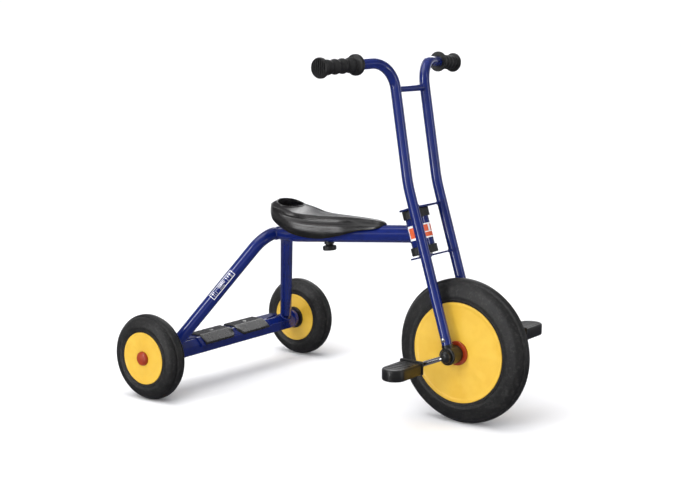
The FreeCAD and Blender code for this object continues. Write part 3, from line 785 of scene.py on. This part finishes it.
def makePad(side, sign):
    detail = padDetail
    low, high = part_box("step_pad_" + side)
    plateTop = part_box("step_plate")[1].z
    beamLow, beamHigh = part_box("rear_beam")
    top, front, back = high.z, high.x, low.x
    middle = (beamLow.x + beamHigh.x) / 2
    edge = middle + detail["frontEdge"]
    inner = front - detail["thick"]
    outer = divided(roundCorners([
        (back, plateTop, 0), (back, top, 0.002), (edge - 0.002, top, 0.014), (front, low.z + 0.004, 0.003),
        (front, low.z, 0.0015), (inner, low.z, 0), (inner, low.z + 0.0022, 0.004),
        (edge + 0.001, plateTop, 0.006),
    ], 7), 0.0022)
    near, far = (low.y, high.y) if sign > 0 else (high.y, low.y)
    length = abs(far - near)
    stations = detail["stations"]
    count = len(outer)
    coreX = sum(point.x for point in outer) / count
    verts = []
    for index in range(stations + 1):
        part = index / stations
        edgeGap = min(part, 1 - part) * length
        innerGap = part * length
        inset = 0.0
        if edgeGap < detail["endRadius"]:
            inset = 1 - math.sqrt(1 - (1 - edgeGap / detail["endRadius"]) ** 2)
        for x, z in outer:
            onTop = z > plateTop + 0.0005
            frontness = smoothStep(x, middle + 0.006, front)
            lift = 0.0
            if innerGap < detail["cutBack"]:
                lift = frontness * detail["cutLift"] * (1 - innerGap / detail["cutBack"]) ** 2
            ridge = 0.0
            if onTop and x < edge and innerGap > detail["ridgeMargin"] and edgeGap > detail["ridgeMargin"]:
                wave = math.cos(2 * math.pi * detail["ridges"] * (x - back) / detail["ridgeRun"])
                ridge = detail["ridgeHeight"] * max(0.0, wave)
            padX = x - frontness * lift * 1.1
            padZ = z + lift * 0.6 + ridge - (detail["endDrop"] * inset if onTop else 0)
            padX += (coreX - padX) * 0.03 * inset
            verts.append(Vector((padX, near + (far - near) * part, min(padZ, top))))
    faces = [tuple(range(count)), tuple(range((stations + 1) * count - 1, stations * count - 1, -1))]
    for index in range(stations):
        here, there = index * count, (index + 1) * count
        for corner in range(count):
            after = (corner + 1) % count
            faces.append((here + corner, here + after, there + after, there + corner))
    mesh = meshFrom("step_tread_" + side, verts, faces)
    addPiece("step_tread_" + side, mesh, "frame", "padRubber", ["step_pad_" + side], sharp=45)


for side, sign in sides.items():
    makePad(side, sign)
print("step pads done")


# from the seat's rear edge: place along it, half width and height of the top edge, height on the
# centre line, half width and height of the flared side, height of the hem
seatDetail = {
    "stations": [
        (-0.0010, 0.012, 0.4225, 0.4250, 0.014, 0.4185, 0.4150),
        (0.0008, 0.021, 0.4245, 0.4285, 0.024, 0.4170, 0.4110),
        (0.004, 0.031, 0.4255, 0.4310, 0.034, 0.4140, 0.4060),
        (0.010, 0.040, 0.4250, 0.4325, 0.0425, 0.4100, 0.3995),
        (0.022, 0.048, 0.4205, 0.4325, 0.0515, 0.4030, 0.3905),
        (0.044, 0.051, 0.4155, 0.4250, 0.0560, 0.3955, 0.3780),
        (0.074, 0.049, 0.4097, 0.4130, 0.0570, 0.3880, 0.3660),
        (0.106, 0.037, 0.4062, 0.4090, 0.0515, 0.3835, 0.3595),
        (0.146, 0.025, 0.4058, 0.4088, 0.0420, 0.3815, 0.3585),
        (0.191, 0.0155, 0.4068, 0.4095, 0.0310, 0.3825, 0.3680),
        (0.236, 0.0115, 0.4066, 0.4091, 0.0260, 0.3865, 0.3820),
        (0.271, 0.0095, 0.4052, 0.4073, 0.0215, 0.3905, 0.3880),
        (0.285, 0.0070, 0.4036, 0.4050, 0.0165, 0.3930, 0.3915),
        (0.2925, 0.0035, 0.4012, 0.4020, 0.0080, 0.3965, 0.3955),
    ],
    "tuck": 0.09,
    "wall": 0.0036,
    "holeCentre": 0.033,
    "holeHalfLength": 0.026,
    "holeHalfWidth": 0.036,
    "holeLevels": (0.395, 0.47),    # the hole is cut between these heights
    "rimRadius": 0.0021,
    "flute": 0.0058,          # the scoop along each side, under the top edge
    "edgeBead": 0.0016,
    "edgeRound": 0.0034,      # height of the rounded top edge
    "edgeOut": 0.0010,
    "lengthSteps": 150,
    "clampDrop": 0.032,       # from the clamp knob's pivot up to the tube's centre line
    "tubeRoom": 0.0194,
}


def curveThrough(keys, position, column):
    index = 0
    while index < len(keys) - 2 and position > keys[index + 1][0]:
        index += 1
    before = keys[max(0, index - 1)]
    start = keys[index]
    stop = keys[index + 1]
    after = keys[min(len(keys) - 1, index + 2)]
    span = stop[0] - start[0]
    part = (position - start[0]) / span
    slopeA = (stop[column] - before[column]) / (stop[0] - before[0]) * span
    slopeB = (after[column] - start[column]) / (after[0] - start[0]) * span
    square, cube = part * part, part ** 3
    return ((2 * cube - 3 * square + 1) * start[column] + (cube - 2 * square + part) * slopeA
            + (3 * square - 2 * cube) * stop[column] + (cube - square) * slopeB)


def seatSection(position, inset):
    # half section of a skin: centre line, over the edge, down to the hem; inset gives the inner skin
    keys = seatDetail["stations"]
    measures = [curveThrough(keys, position, column) for column in range(1, 7)]
    topHalf, topEdge, topMiddle, flare, flareZ, hem = measures
    topHalf = max(0.0012, topHalf - inset)
    flare = max(0.0020, flare - inset)
    topEdge -= inset
    topMiddle -= inset
    points = []
    for part in (0, 0.2, 0.4, 0.6, 0.76, 0.88):
        points.append((topHalf * part, topEdge + (topMiddle - topEdge) * math.cos(part * math.pi / 2) ** 0.9))
    bead = seatDetail["edgeBead"] * smoothStep(position, 0.02, 0.06) * (1 - smoothStep(position, 0.23, 0.27))
    if topHalf > 0.008:
        points.append((topHalf - 0.0030, topEdge - 0.4 * bead))
        points.append((topHalf - 0.0012, topEdge + 0.6 * bead))
    else:
        points.append((topHalf * 0.94, topEdge + (topMiddle - topEdge) * 0.1))
        points.append((topHalf * 0.98, topEdge))
    points.append((topHalf + 0.0004, topEdge + 0.2 * bead - 0.0006))
    side = topHalf + seatDetail["edgeOut"]
    sideTop = topEdge - seatDetail["edgeRound"]
    points.append((side, sideTop))
    drop = max(0.002, sideTop - flareZ)
    depth = seatDetail["flute"] * smoothStep(position, 0.035, 0.085) * (1 - smoothStep(position, 0.17, 0.25))
    rows = 14
    for row in range(1, rows + 1):
        part = row / rows
        y = side + (flare - side) * math.sin(part * math.pi / 2) ** 0.85
        scoop = math.sin(math.pi * min(1.0, part / 0.74)) ** 2 * depth
        points.append((y - scoop, sideTop - drop * part))
    flareLevel = sideTop - drop
    rows = 7
    for row in range(1, rows + 1):
        part = row / rows
        tuck = seatDetail["tuck"] * part ** 2 * (flareLevel - hem) / 0.03
        y = flare * (1 + 0.012 * math.sin(part * math.pi) - tuck)
        points.append((y, flareLevel - (flareLevel - hem) * part))
    return points


def seatShell():
    keys = seatDetail["stations"]
    low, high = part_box("seat_shell")
    steps = seatDetail["lengthSteps"]
    verts = []
    faces = []
    for inset in (0.0, seatDetail["wall"]):
        begin = keys[0][0] + inset
        total = keys[-1][0] - 1.4 * inset - begin
        rows = []
        for step in range(steps + 1):
            part = step / steps
            position = begin + total * (part - 0.06 * math.sin(2 * math.pi * part))
            half = seatSection(position, inset)
            row = [Vector((low.x + position, y, z)) for y, z in reversed(half)]
            row += [Vector((low.x + position, -y, z)) for y, z in half[1:]]
            rows.append(list(range(len(verts), len(verts) + len(row))))
            verts += row
        skin = []
        for before, after in zip(rows, rows[1:]):
            for index in range(len(before) - 1):
                skin.append((before[index], before[index + 1], after[index + 1], after[index]))
        for row, turnRound in ((rows[0], True), (rows[-1], False)):
            middle = len(row) // 2
            for index in range(middle):
                mate = len(row) - 1 - index
                corners = [row[index], row[index + 1], row[mate - 1], row[mate]]
                if index + 1 == middle:
                    corners = [row[index], row[middle], row[mate]]
                skin.append(tuple(reversed(corners)) if turnRound else tuple(corners))
        if inset == 0.0:
            outerSkin = skin
            count = len(verts)
        else:
            faces = outerSkin + [tuple(reversed(face)) for face in skin]
    uses = {}
    for face in outerSkin:
        for index, corner in enumerate(face):
            following = face[(index + 1) % len(face)]
            key = (min(corner, following), max(corner, following))
            uses.setdefault(key, []).append((corner, following))
    for pairs in uses.values():
        if len(pairs) == 1:
            corner, following = pairs[0]
            faces.append((following, corner, corner + count, following + count))
    mesh = meshFrom("seatShell", verts, faces)
    top = BVHTree.FromPolygons(verts[:count], outerSkin)
    return mesh, top


def ellipse(reachX, reachY, count):
    angles = [2 * math.pi * step / count for step in range(count)]
    return [(reachX * math.cos(angle), reachY * math.sin(angle)) for angle in angles]


tubePoint = jointPoint("seat_knob_turn") + tubeNormal * seatDetail["clampDrop"]


def makeSeat():
    low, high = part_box("seat_shell")
    shell, top = seatShell()
    centreX = low.x + seatDetail["holeCentre"]
    reachX, reachY = seatDetail["holeHalfLength"], seatDetail["holeHalfWidth"]
    floor, ceiling = seatDetail["holeLevels"]
    foot = Vector((centreX, 0, floor))
    hole = prism("handHole", ellipse(reachX, reachY, 96), foot, forwards, across, up, ceiling - floor)
    wide, reach = seatDetail["tubeRoom"], 0.3
    room = [(0, -reach), (wide, -reach), (wide, reach), (0, reach)]
    tubeRoom = turned("tubeRoom", room, tubePoint, tubeAxis, 96)
    shell = carve(shell, [hole, tubeRoom])
    addPiece("seat_moulding", shell, "seat", "seatPlastic", ["seat_shell"], sharp=55)

    # the rolled rim follows the top skin round the hand hole
    rimPath = []
    for x, y in ellipse(reachX, reachY, 120):
        hit = top.ray_cast(Vector((centreX + x, y, high.z + 0.05)), -up)[0]
        rimPath.append(hit - up * 0.0008)
    rim = closedTube("seat_hole_rim", rimPath, seatDetail["rimRadius"], 14)
    addPiece("seat_hole_rim", rim, "seat", "seatPlastic")


makeSeat()
print("seat done")


capDetail = {
    "bore": 0.0065,
    "plug": 0.0205,           # the plug goes down inside the head tube
    "plugEnd": 0.034,
    "tubeOuter": 0.0244,
    "tubeEnd": 0.0443,
    "radius": 0.028,
    "skirt": 0.030,
    "ribs": 40,
    "ribDepth": 0.0004,
    "segments": 240,
}


def makeCap(node, direction, top):
    detail = capDetail
    outline = divided(roundCorners([
        (detail["bore"], detail["plugEnd"], 0), (detail["plug"], detail["plugEnd"], 0),
        (detail["plug"], detail["tubeEnd"], 0), (detail["tubeOuter"], detail["tubeEnd"], 0),
        (detail["tubeOuter"], detail["skirt"], 0), (detail["radius"], detail["skirt"], 0.001),
        (detail["radius"], top, 0.002), (detail["bore"], top, 0),
    ], 4), 0.003)

    def relief(angle, r, station):
        if r > detail["radius"] - 0.0008:
            return -detail["ribDepth"] * max(0.0, math.cos(angle * detail["ribs"])) ** 3, 0.0
        return 0.0, 0.0

    mesh = turned(node + "_cap", outline, headCentre, headAxis * direction, detail["segments"], relief)
    addPiece(node + "_cap", mesh, "frame", "blackPlastic", [node], sharp=45)


makeCap("head_bush_upper", 1, 0.049)
makeCap("head_bush_lower", -1, 0.0475)


screwDetail = {
    "slotLength": 0.0056,
    "slotWidth": 0.0010,
    "slotDepth": 0.0014,
    "shank": 0.0024,
    "housing": {"radius": 0.0046, "height": 0.0039, "reach": 0.022},
    "step": {"radius": 0.005, "height": 0.0026, "reach": 0.009},
}


def crossHead(foot, axis, size):
    radius, height, reach, shank = size["radius"], size["height"], size["reach"], screwDetail["shank"]
    outline = roundCorners([
        (0, -reach, 0), (shank, -reach, 0), (shank, 0, 0),
        (radius, 0, 0.0003), (radius, 0.6 * height, 0.0018), (0, height, 0),
    ])
    mesh = turned("screw", outline, foot, axis, 64)
    first, second = frameFor(axis)
    half, thin = screwDetail["slotLength"] / 2, screwDetail["slotWidth"] / 2
    slot = [(-half, -thin), (half, -thin), (half, thin), (-half, thin)]
    slotFloor = foot + axis * (height - screwDetail["slotDepth"])
    crossed = ((first, second), (second, first))
    return carve(mesh, [prism("slot", slot, slotFloor, along, wide, axis, 0.01) for along, wide in crossed])


def addScrews(name, node, body, places, size):
    screws = [crossHead(foot, axis, size) for foot, axis in places]
    addPiece(name, joinMeshes(name, screws), body, "zincSteel", [node], sharp=30)


# each screw's head sits where its plain one does
low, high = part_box("housing_screws")
centre = (low + high) / 2
addScrews("housing_cross_screws", "housing_screws", "steering",
          [(Vector((centre.x, sign * 0.0646, centre.z)), across * sign) for sign in sides.values()],
          screwDetail["housing"])
low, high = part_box("step_screws")
centre = (low + high) / 2
addScrews("step_cross_screws", "step_screws", "frame",
          [(Vector((centre.x, sign * (high.y - 0.005), high.z - 0.0018)), up) for sign in sides.values()],
          screwDetail["step"])
print("caps and screws done")


weldDetail = {
    "radius": 0.0021,
    "braceRadius": 0.0014,
    "ripples": 34,
    "rippleDepth": 0.16,
    "points": 150,
    "around": 10,
    "sink": 0.0003,           # how far a bead's centre stands off the piece
}


def nodeTree(node):
    mesh = nodes[node].data
    return BVHTree.FromPolygons([v.co for v in mesh.vertices], [tuple(p.vertices) for p in mesh.polygons])


def weldRipple(part):
    return 1.0 + weldDetail["rippleDepth"] * math.sin(2 * math.pi * weldDetail["ripples"] * part)


def weldRing(name, target, start, direction, radius, body, bead=weldDetail["radius"]):
    # the bead's path is found by looking along the tube on to the piece it is welded to
    tree = nodeTree(target)
    direction = direction.normalized()
    first, second = frameFor(direction)
    path = []
    for origin in ringOfPoints(start, first, second, radius, weldDetail["points"]):
        hit = tree.ray_cast(origin, direction)[0]
        if hit:
            path.append(hit - direction * weldDetail["sink"])
    mesh = closedTube(name, path, bead, weldDetail["around"], weldRipple)
    addPiece(name, mesh, body, "bluePaint", sharp=80)


weldRing("weld_tube_to_head", "head_tube", tubePoint + tubeAxis * 0.15, tubeAxis, 0.0190, "frame")
weldRing("weld_tube_to_stay", "rear_stay", tubePoint - tubeAxis * 0.118, tubeAxis * -1, 0.0135, "frame")

low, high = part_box("handlebar_brace")
braceCentre = Vector(((low.x + high.x) / 2, 0, (low.z + high.z) / 2))
for side, sign in sides.items():
    weldRing("weld_brace_" + side, "fork_leg_" + side, braceCentre, across * sign, 0.0064, "steering",
             weldDetail["braceRadius"])

# each leg of the rear stay leans forwards and in, from its foot on the beam to the middle of the tricycle
stayDetail = {"footY": 0.1958, "footX": 0.0108, "lean": math.radians(28.8), "splay": math.radians(29.67),
              "radius": 0.014}


def stayLeg(sign):
    beamLow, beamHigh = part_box("rear_beam")
    beamX = (beamLow.x + beamHigh.x) / 2
    foot = Vector((beamX + stayDetail["footX"], sign * stayDetail["footY"], beamHigh.z))
    rise = stayDetail["footY"] / math.tan(stayDetail["splay"])
    lean = stayDetail["lean"]
    corner = Vector((foot.x + rise * math.sin(lean), 0, foot.z + rise * math.cos(lean)))
    return foot, corner


for side, sign in sides.items():
    foot, corner = stayLeg(sign)
    along = (foot - corner).normalized()
    weldRing("weld_stay_foot_" + side, "rear_beam", foot - along * 0.04, along, 0.0139, "frame")

# short beads where the fork plates meet the legs, above and below each plate
plateBeadDetail = {
    "radius": 0.0015,
    "legOuter": 0.0113,
    "halfSweep": 80,
    "steps": 32,
    "lift": 0.0022,
    "around": 8,
    "kneeX": 0.188375,        # where the leg's straight lower run ends
    "kneeZ": 0.495,
    "legY": 0.054,
}


def openBead(name, path):
    detail = plateBeadDetail
    last = len(path) - 1
    verts = []
    for index, point in enumerate(path):
        tangent = (path[min(index + 1, last)] - path[max(index - 1, 0)]).normalized()
        first = tangent.cross(headAxis).normalized()
        second = tangent.cross(first).normalized()
        taper = min(1.0, 0.35 + 3.0 * min(index, last - index) / len(path))
        size = detail["radius"] * taper * (1 + 0.15 * math.sin(index * 1.35))
        verts += ringOfPoints(point, first, second, size, detail["around"])
    faces = tubeFaces(len(path), detail["around"], False)
    faces.append(tuple(range(detail["around"])))
    faces.append(tuple(range(len(verts) - 1, len(verts) - 1 - detail["around"], -1)))
    return meshFrom(name, verts, faces)


def plateBeads(node, sign):
    detail = plateBeadDetail
    low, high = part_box(node)
    middle = headCentre + headAxis * ((low + high) / 2 - headCentre).dot(headAxis)
    knee = Vector((detail["kneeX"], sign * detail["legY"], detail["kneeZ"]))
    axle = Vector((frontCentre.x, sign * detail["legY"], frontCentre.z))
    leg = axle.lerp(knee, (middle.z - axle.z) / (knee.z - axle.z))
    legUp = (knee - axle).normalized()
    leg += legUp * (middle - leg).dot(legUp)
    inwards = across * -sign
    ahead = inwards.cross(legUp).normalized()
    beads = []
    for lift in (-detail["lift"], detail["lift"]):
        path = []
        for step in range(detail["steps"] + 1):
            angle = math.radians(detail["halfSweep"] * (2 * step / detail["steps"] - 1))
            spot = leg + (inwards * math.cos(angle) + ahead * math.sin(angle)) * detail["legOuter"]
            path.append(spot + legUp * lift)
        beads.append(openBead("plateBead", path))
    return beads


beads = []
for node in ("fork_plate_upper", "fork_plate_lower"):
    for sign in sides.values():
        beads += plateBeads(node, sign)
plateWeld = joinMeshes("weld_fork_plates", beads)
addPiece("weld_fork_plates", plateWeld, "steering", "bluePaint", sharp=80)
print("welds done")


# plain film labels; a patch is a start and stop angle round the tube and two stations along it
labelDetail = {
    "lift": 0.00025,
    "headRadius": 0.02425,
    "headPatch": (-128, 128, -0.0155, 0.0155),
    "panelLift": 0.00012,
    "panels": [
        (-118, -86, -0.011, 0.011), (86, 118, -0.011, 0.011),
        (-52, 52, -0.0125, -0.0035), (-52, -8, -0.0015, 0.0125), (8, 52, -0.0015, 0.0125),
        (-80, -58, -0.013, 0.013), (58, 80, -0.013, 0.013),
    ],
    "stayPart": 0.43,         # how far up the leg the label sits
    "stayFacing": (0.45, -0.85, 0.3),
    "borderReach": 34,
    "borderHalf": 0.037,
    "borderLine": 0.0013,
    "bars": [
        (-22, 22, -0.031, -0.0285), (-22, 22, -0.026, -0.0245), (-8, 22, -0.021, -0.0195),
        (-22, -14, -0.010, 0.010), (-6, 4, -0.010, 0.010), (12, 22, -0.010, 0.004),
        (-22, 22, 0.016, 0.0175), (-22, 10, 0.0215, 0.023), (-22, 22, 0.027, 0.031),
    ],
}


def wrapPatch(centre, axis, facing, radius, patch, lift):
    # a thin sheet laid round a tube, with an outer and an inner skin
    lowAngle, highAngle, low, high = patch
    facing = (facing - axis * facing.dot(axis)).normalized()
    sideways = axis.cross(facing).normalized()
    columns = max(6, int(abs(highAngle - lowAngle) / 3))
    verts = []
    faces = []
    for layer in (lift, 0.0):
        for station in (low, high):
            for column in range(columns + 1):
                angle = math.radians(lowAngle + (highAngle - lowAngle) * column / columns)
                out = facing * math.cos(angle) + sideways * math.sin(angle)
                verts.append(centre + axis * station + out * (radius + layer))
    width = columns + 1
    under = 2 * width
    for column in range(columns):
        faces.append((column, column + 1, width + column + 1, width + column))
        faces.append((under + column, under + width + column, under + width + column + 1, under + column + 1))
        faces.append((column, under + column, under + column + 1, column + 1))
        faces.append((width + column, width + column + 1, under + width + column + 1, under + width + column))
    for column in (0, columns):
        faces.append((column, width + column, under + width + column, under + column))
    return meshFrom("patch", verts, faces)


def addLabel(name, look, patches, centre, axis, facing, radius, lift):
    sheets = [wrapPatch(centre, axis, facing, radius, patch, lift) for patch in patches]
    addPiece(name, joinMeshes(name, sheets), "frame", look)


lift = labelDetail["lift"]
headForward = across.cross(headAxis).normalized()
headRadius = labelDetail["headRadius"]
addLabel("head_label", "labelWhite", [labelDetail["headPatch"]], headCentre, headAxis, headForward,
         headRadius, lift)
addLabel("head_label_panels", "labelRed", labelDetail["panels"], headCentre, headAxis, headForward,
         headRadius + lift, labelDetail["panelLift"])

# the stay's label is on the rider's right leg only
foot, corner = stayLeg(sides["right"])
along = (corner - foot).normalized()
centre = foot.lerp(corner, labelDetail["stayPart"])
facing = Vector(labelDetail["stayFacing"])
reach, tall, line = labelDetail["borderReach"], labelDetail["borderHalf"], labelDetail["borderLine"]
edge = math.degrees(line / stayDetail["radius"])
border = [
    (-reach, reach, tall - line, tall), (-reach, reach, -tall, line - tall),
    (-reach, edge - reach, -tall, tall), (reach - edge, reach, -tall, tall),
]
for name, look, patches in (("stay_label_border", "labelWhite", border),
                            ("stay_label_bars", "labelSilver", labelDetail["bars"])):
    addLabel(name, look, patches, centre, along, facing, stayDetail["radius"], lift)
print("labels done")


stageDetail = {
    "azimuth": math.radians(36.94),
    "elevation": math.radians(9.28),
    "distance": 2.93748,
    "target": Vector((-0.024915, 0, 0.34683)),
    "lens": 70.96,
    "floorReach": 40.0,
    "floorDrop": 0.0004,
    # direction, strength and spread in degrees
    "suns": {"keySun": ((0.1, 0.25, -1.0), 2.4, 70), "fillSun": ((-0.5, 1.0, -0.45), 1.6, 60)},
    # place, target, size and power in watts
    "topSoftbox": ((-0.5, -0.6, 2.4), (0, 0, 0.3), (1.6, 1.6), 12),
    "backSoftbox": ((-1.15, 2.4, 2.0), (-0.13, 0, 0.42), (1.6, 1.1), 18),
    # world brightness from straight down to straight up
    "sky": [
        (0.0, (0.14, 0.14, 0.16)), (0.40, (0.09, 0.09, 0.11)), (0.478, (0.20, 0.20, 0.22)),
        (0.484, (1.03, 1.03, 1.035)), (0.515, (1.03, 1.03, 1.035)), (0.54, (0.45, 0.45, 0.46)),
        (0.60, (0.20, 0.20, 0.22)), (0.75, (0.12, 0.12, 0.14)), (1.0, (0.42, 0.42, 0.44)),
    ],
    # tall light strips standing round the tricycle: compass angle in degrees, half width, brightness
    "strips": [(-103, 4.0, 16.0), (12, 2.5, 7.0), (160, 8.0, 1.0)],
    "stripTallness": [
        (0.36, (0, 0, 0)), (0.43, (1, 1, 1)), (0.478, (1, 1, 1)), (0.484, (0, 0, 0)), (0.52, (0, 0, 0)),
        (0.55, (1, 1, 1)), (0.80, (1, 1, 1)), (0.86, (0, 0, 0)),
    ],
}

camera = bpy.data.cameras.new("camera")
camera.lens = stageDetail["lens"]
camera.sensor_width = 36
camera.clip_end = 200
cameraObject = bpy.data.objects.new("camera", camera)
bpy.context.scene.collection.objects.link(cameraObject)
turn, tilt = stageDetail["azimuth"], stageDetail["elevation"]
backwards = Vector((math.sin(turn) * math.cos(tilt), -math.cos(turn) * math.cos(tilt), math.sin(tilt)))
rightwards = Vector((math.cos(turn), math.sin(turn), 0))
upwards = backwards.cross(rightwards)
pose = Matrix((rightwards, upwards, backwards)).transposed().to_4x4()
pose.translation = stageDetail["target"] + backwards * stageDetail["distance"]
cameraObject.matrix_world = pose
bpy.context.scene.camera = cameraObject

# a white floor, a little uneven in tone
floorMaterial, floorTree, floorShader = plainFinish("floorFinish", {
    "Roughness": 0.9, "Specular IOR Level": 0.1})
floorShade = noiseOn(floorTree, 1.5)
floorRamp = colourRamp(floorTree, floorShade.outputs["Fac"], [
    (0.3, (0.86, 0.86, 0.865)), (0.7, (0.88, 0.88, 0.885))])
link(floorTree, floorRamp.outputs["Color"], floorShader.inputs["Base Color"])
reach = stageDetail["floorReach"]
floorMesh = bpy.data.meshes.new("floor")
floorCorners = [(-reach, -reach, 0), (reach, -reach, 0), (reach, reach, 0), (-reach, reach, 0)]
floorMesh.from_pydata(floorCorners, [], [(0, 1, 2, 3)])
floorMesh.materials.append(floorMaterial)
floorObject = bpy.data.objects.new("floor", floorMesh)
floorObject.location = (0, 0, -stageDetail["floorDrop"])
bpy.context.scene.collection.objects.link(floorObject)
floorObject.visible_glossy = False    # paint and plastic mirror the dark studio, not the white floor


def addLamp(name, kind, energy, direction):
    light = bpy.data.lights.new(name, kind)
    light.energy = energy
    lamp = bpy.data.objects.new(name, light)
    bpy.context.scene.collection.objects.link(lamp)
    lamp.rotation_euler = direction.to_track_quat("-Z", "Y").to_euler()
    return lamp


def addSoftbox(name):
    place, target, size, power = stageDetail[name]
    lamp = addLamp(name, "AREA", power, Vector(target) - Vector(place))
    lamp.data.shape = "RECTANGLE"
    lamp.data.size, lamp.data.size_y = size
    lamp.location = place
    return lamp


# the two suns give only the soft shade; the highlights come from the strips and the softboxes
for name, (direction, strength, spread) in stageDetail["suns"].items():
    sun = addLamp(name, "SUN", strength, Vector(direction))
    sun.data.angle = math.radians(spread)
    sun.visible_glossy = False
addSoftbox("topSoftbox")
addSoftbox("backSoftbox").visible_diffuse = False    # only for the sheen along the top of the seat

world = bpy.data.worlds.new("studio")
bpy.context.scene.world = world
world.use_nodes = True
worldTree = world.node_tree
place = addNode(worldTree, "ShaderNodeTexCoord")
split = addNode(worldTree, "ShaderNodeSeparateXYZ")
link(worldTree, place.outputs["Generated"], split.inputs["Vector"])
height = addNode(worldTree, "ShaderNodeMapRange")
height.inputs["From Min"].default_value = -1.0
link(worldTree, split.outputs["Z"], height.inputs["Value"])
skyRamp = colourRamp(worldTree, height.outputs["Result"], stageDetail["sky"])
compass = addNode(worldTree, "ShaderNodeMath", operation="ARCTAN2")
link(worldTree, split.outputs["Y"], compass.inputs[0])
link(worldTree, split.outputs["X"], compass.inputs[1])
tallness = colourRamp(worldTree, height.outputs["Result"], stageDetail["stripTallness"])
glow = None
for angle, halfWidth, brightness in stageDetail["strips"]:
    offset = addNode(worldTree, "ShaderNodeMath", operation="SUBTRACT")
    link(worldTree, compass.outputs["Value"], offset.inputs[0])
    offset.inputs[1].default_value = math.radians(angle)
    gap = addNode(worldTree, "ShaderNodeMath", operation="ABSOLUTE")
    link(worldTree, offset.outputs["Value"], gap.inputs[0])
    fall = addNode(worldTree, "ShaderNodeMapRange", interpolation_type="SMOOTHSTEP")
    fall.inputs["From Min"].default_value = math.radians(halfWidth * 1.2)
    fall.inputs["From Max"].default_value = math.radians(halfWidth * 0.8)
    fall.inputs["To Max"].default_value = brightness
    link(worldTree, gap.outputs["Value"], fall.inputs["Value"])
    if glow is None:
        glow = fall.outputs["Result"]
    else:
        both = addNode(worldTree, "ShaderNodeMath", operation="ADD")
        link(worldTree, glow, both.inputs[0])
        link(worldTree, fall.outputs["Result"], both.inputs[1])
        glow = both.outputs["Value"]
strips = addNode(worldTree, "ShaderNodeMath", operation="MULTIPLY")
link(worldTree, glow, strips.inputs[0])
link(worldTree, tallness.outputs["Color"], strips.inputs[1])
background = worldTree.nodes["Background"]
link(worldTree, skyRamp.outputs["Color"], background.inputs["Color"])
stripLight = addNode(worldTree, "ShaderNodeBackground")
link(worldTree, strips.outputs["Value"], stripLight.inputs["Strength"])
together = addNode(worldTree, "ShaderNodeAddShader")
link(worldTree, background.outputs["Background"], together.inputs[0])
link(worldTree, stripLight.outputs["Background"], together.inputs[1])
link(worldTree, together.outputs["Shader"], worldTree.nodes["World Output"].inputs["Surface"])
background.inputs["Strength"].default_value = 1.0
stripLight.inputs["Color"].default_value = (1, 1, 1, 1)

bpy.context.scene.view_settings.view_transform = "Standard"
bpy.context.scene.view_settings.look = "None"
print("stage done")
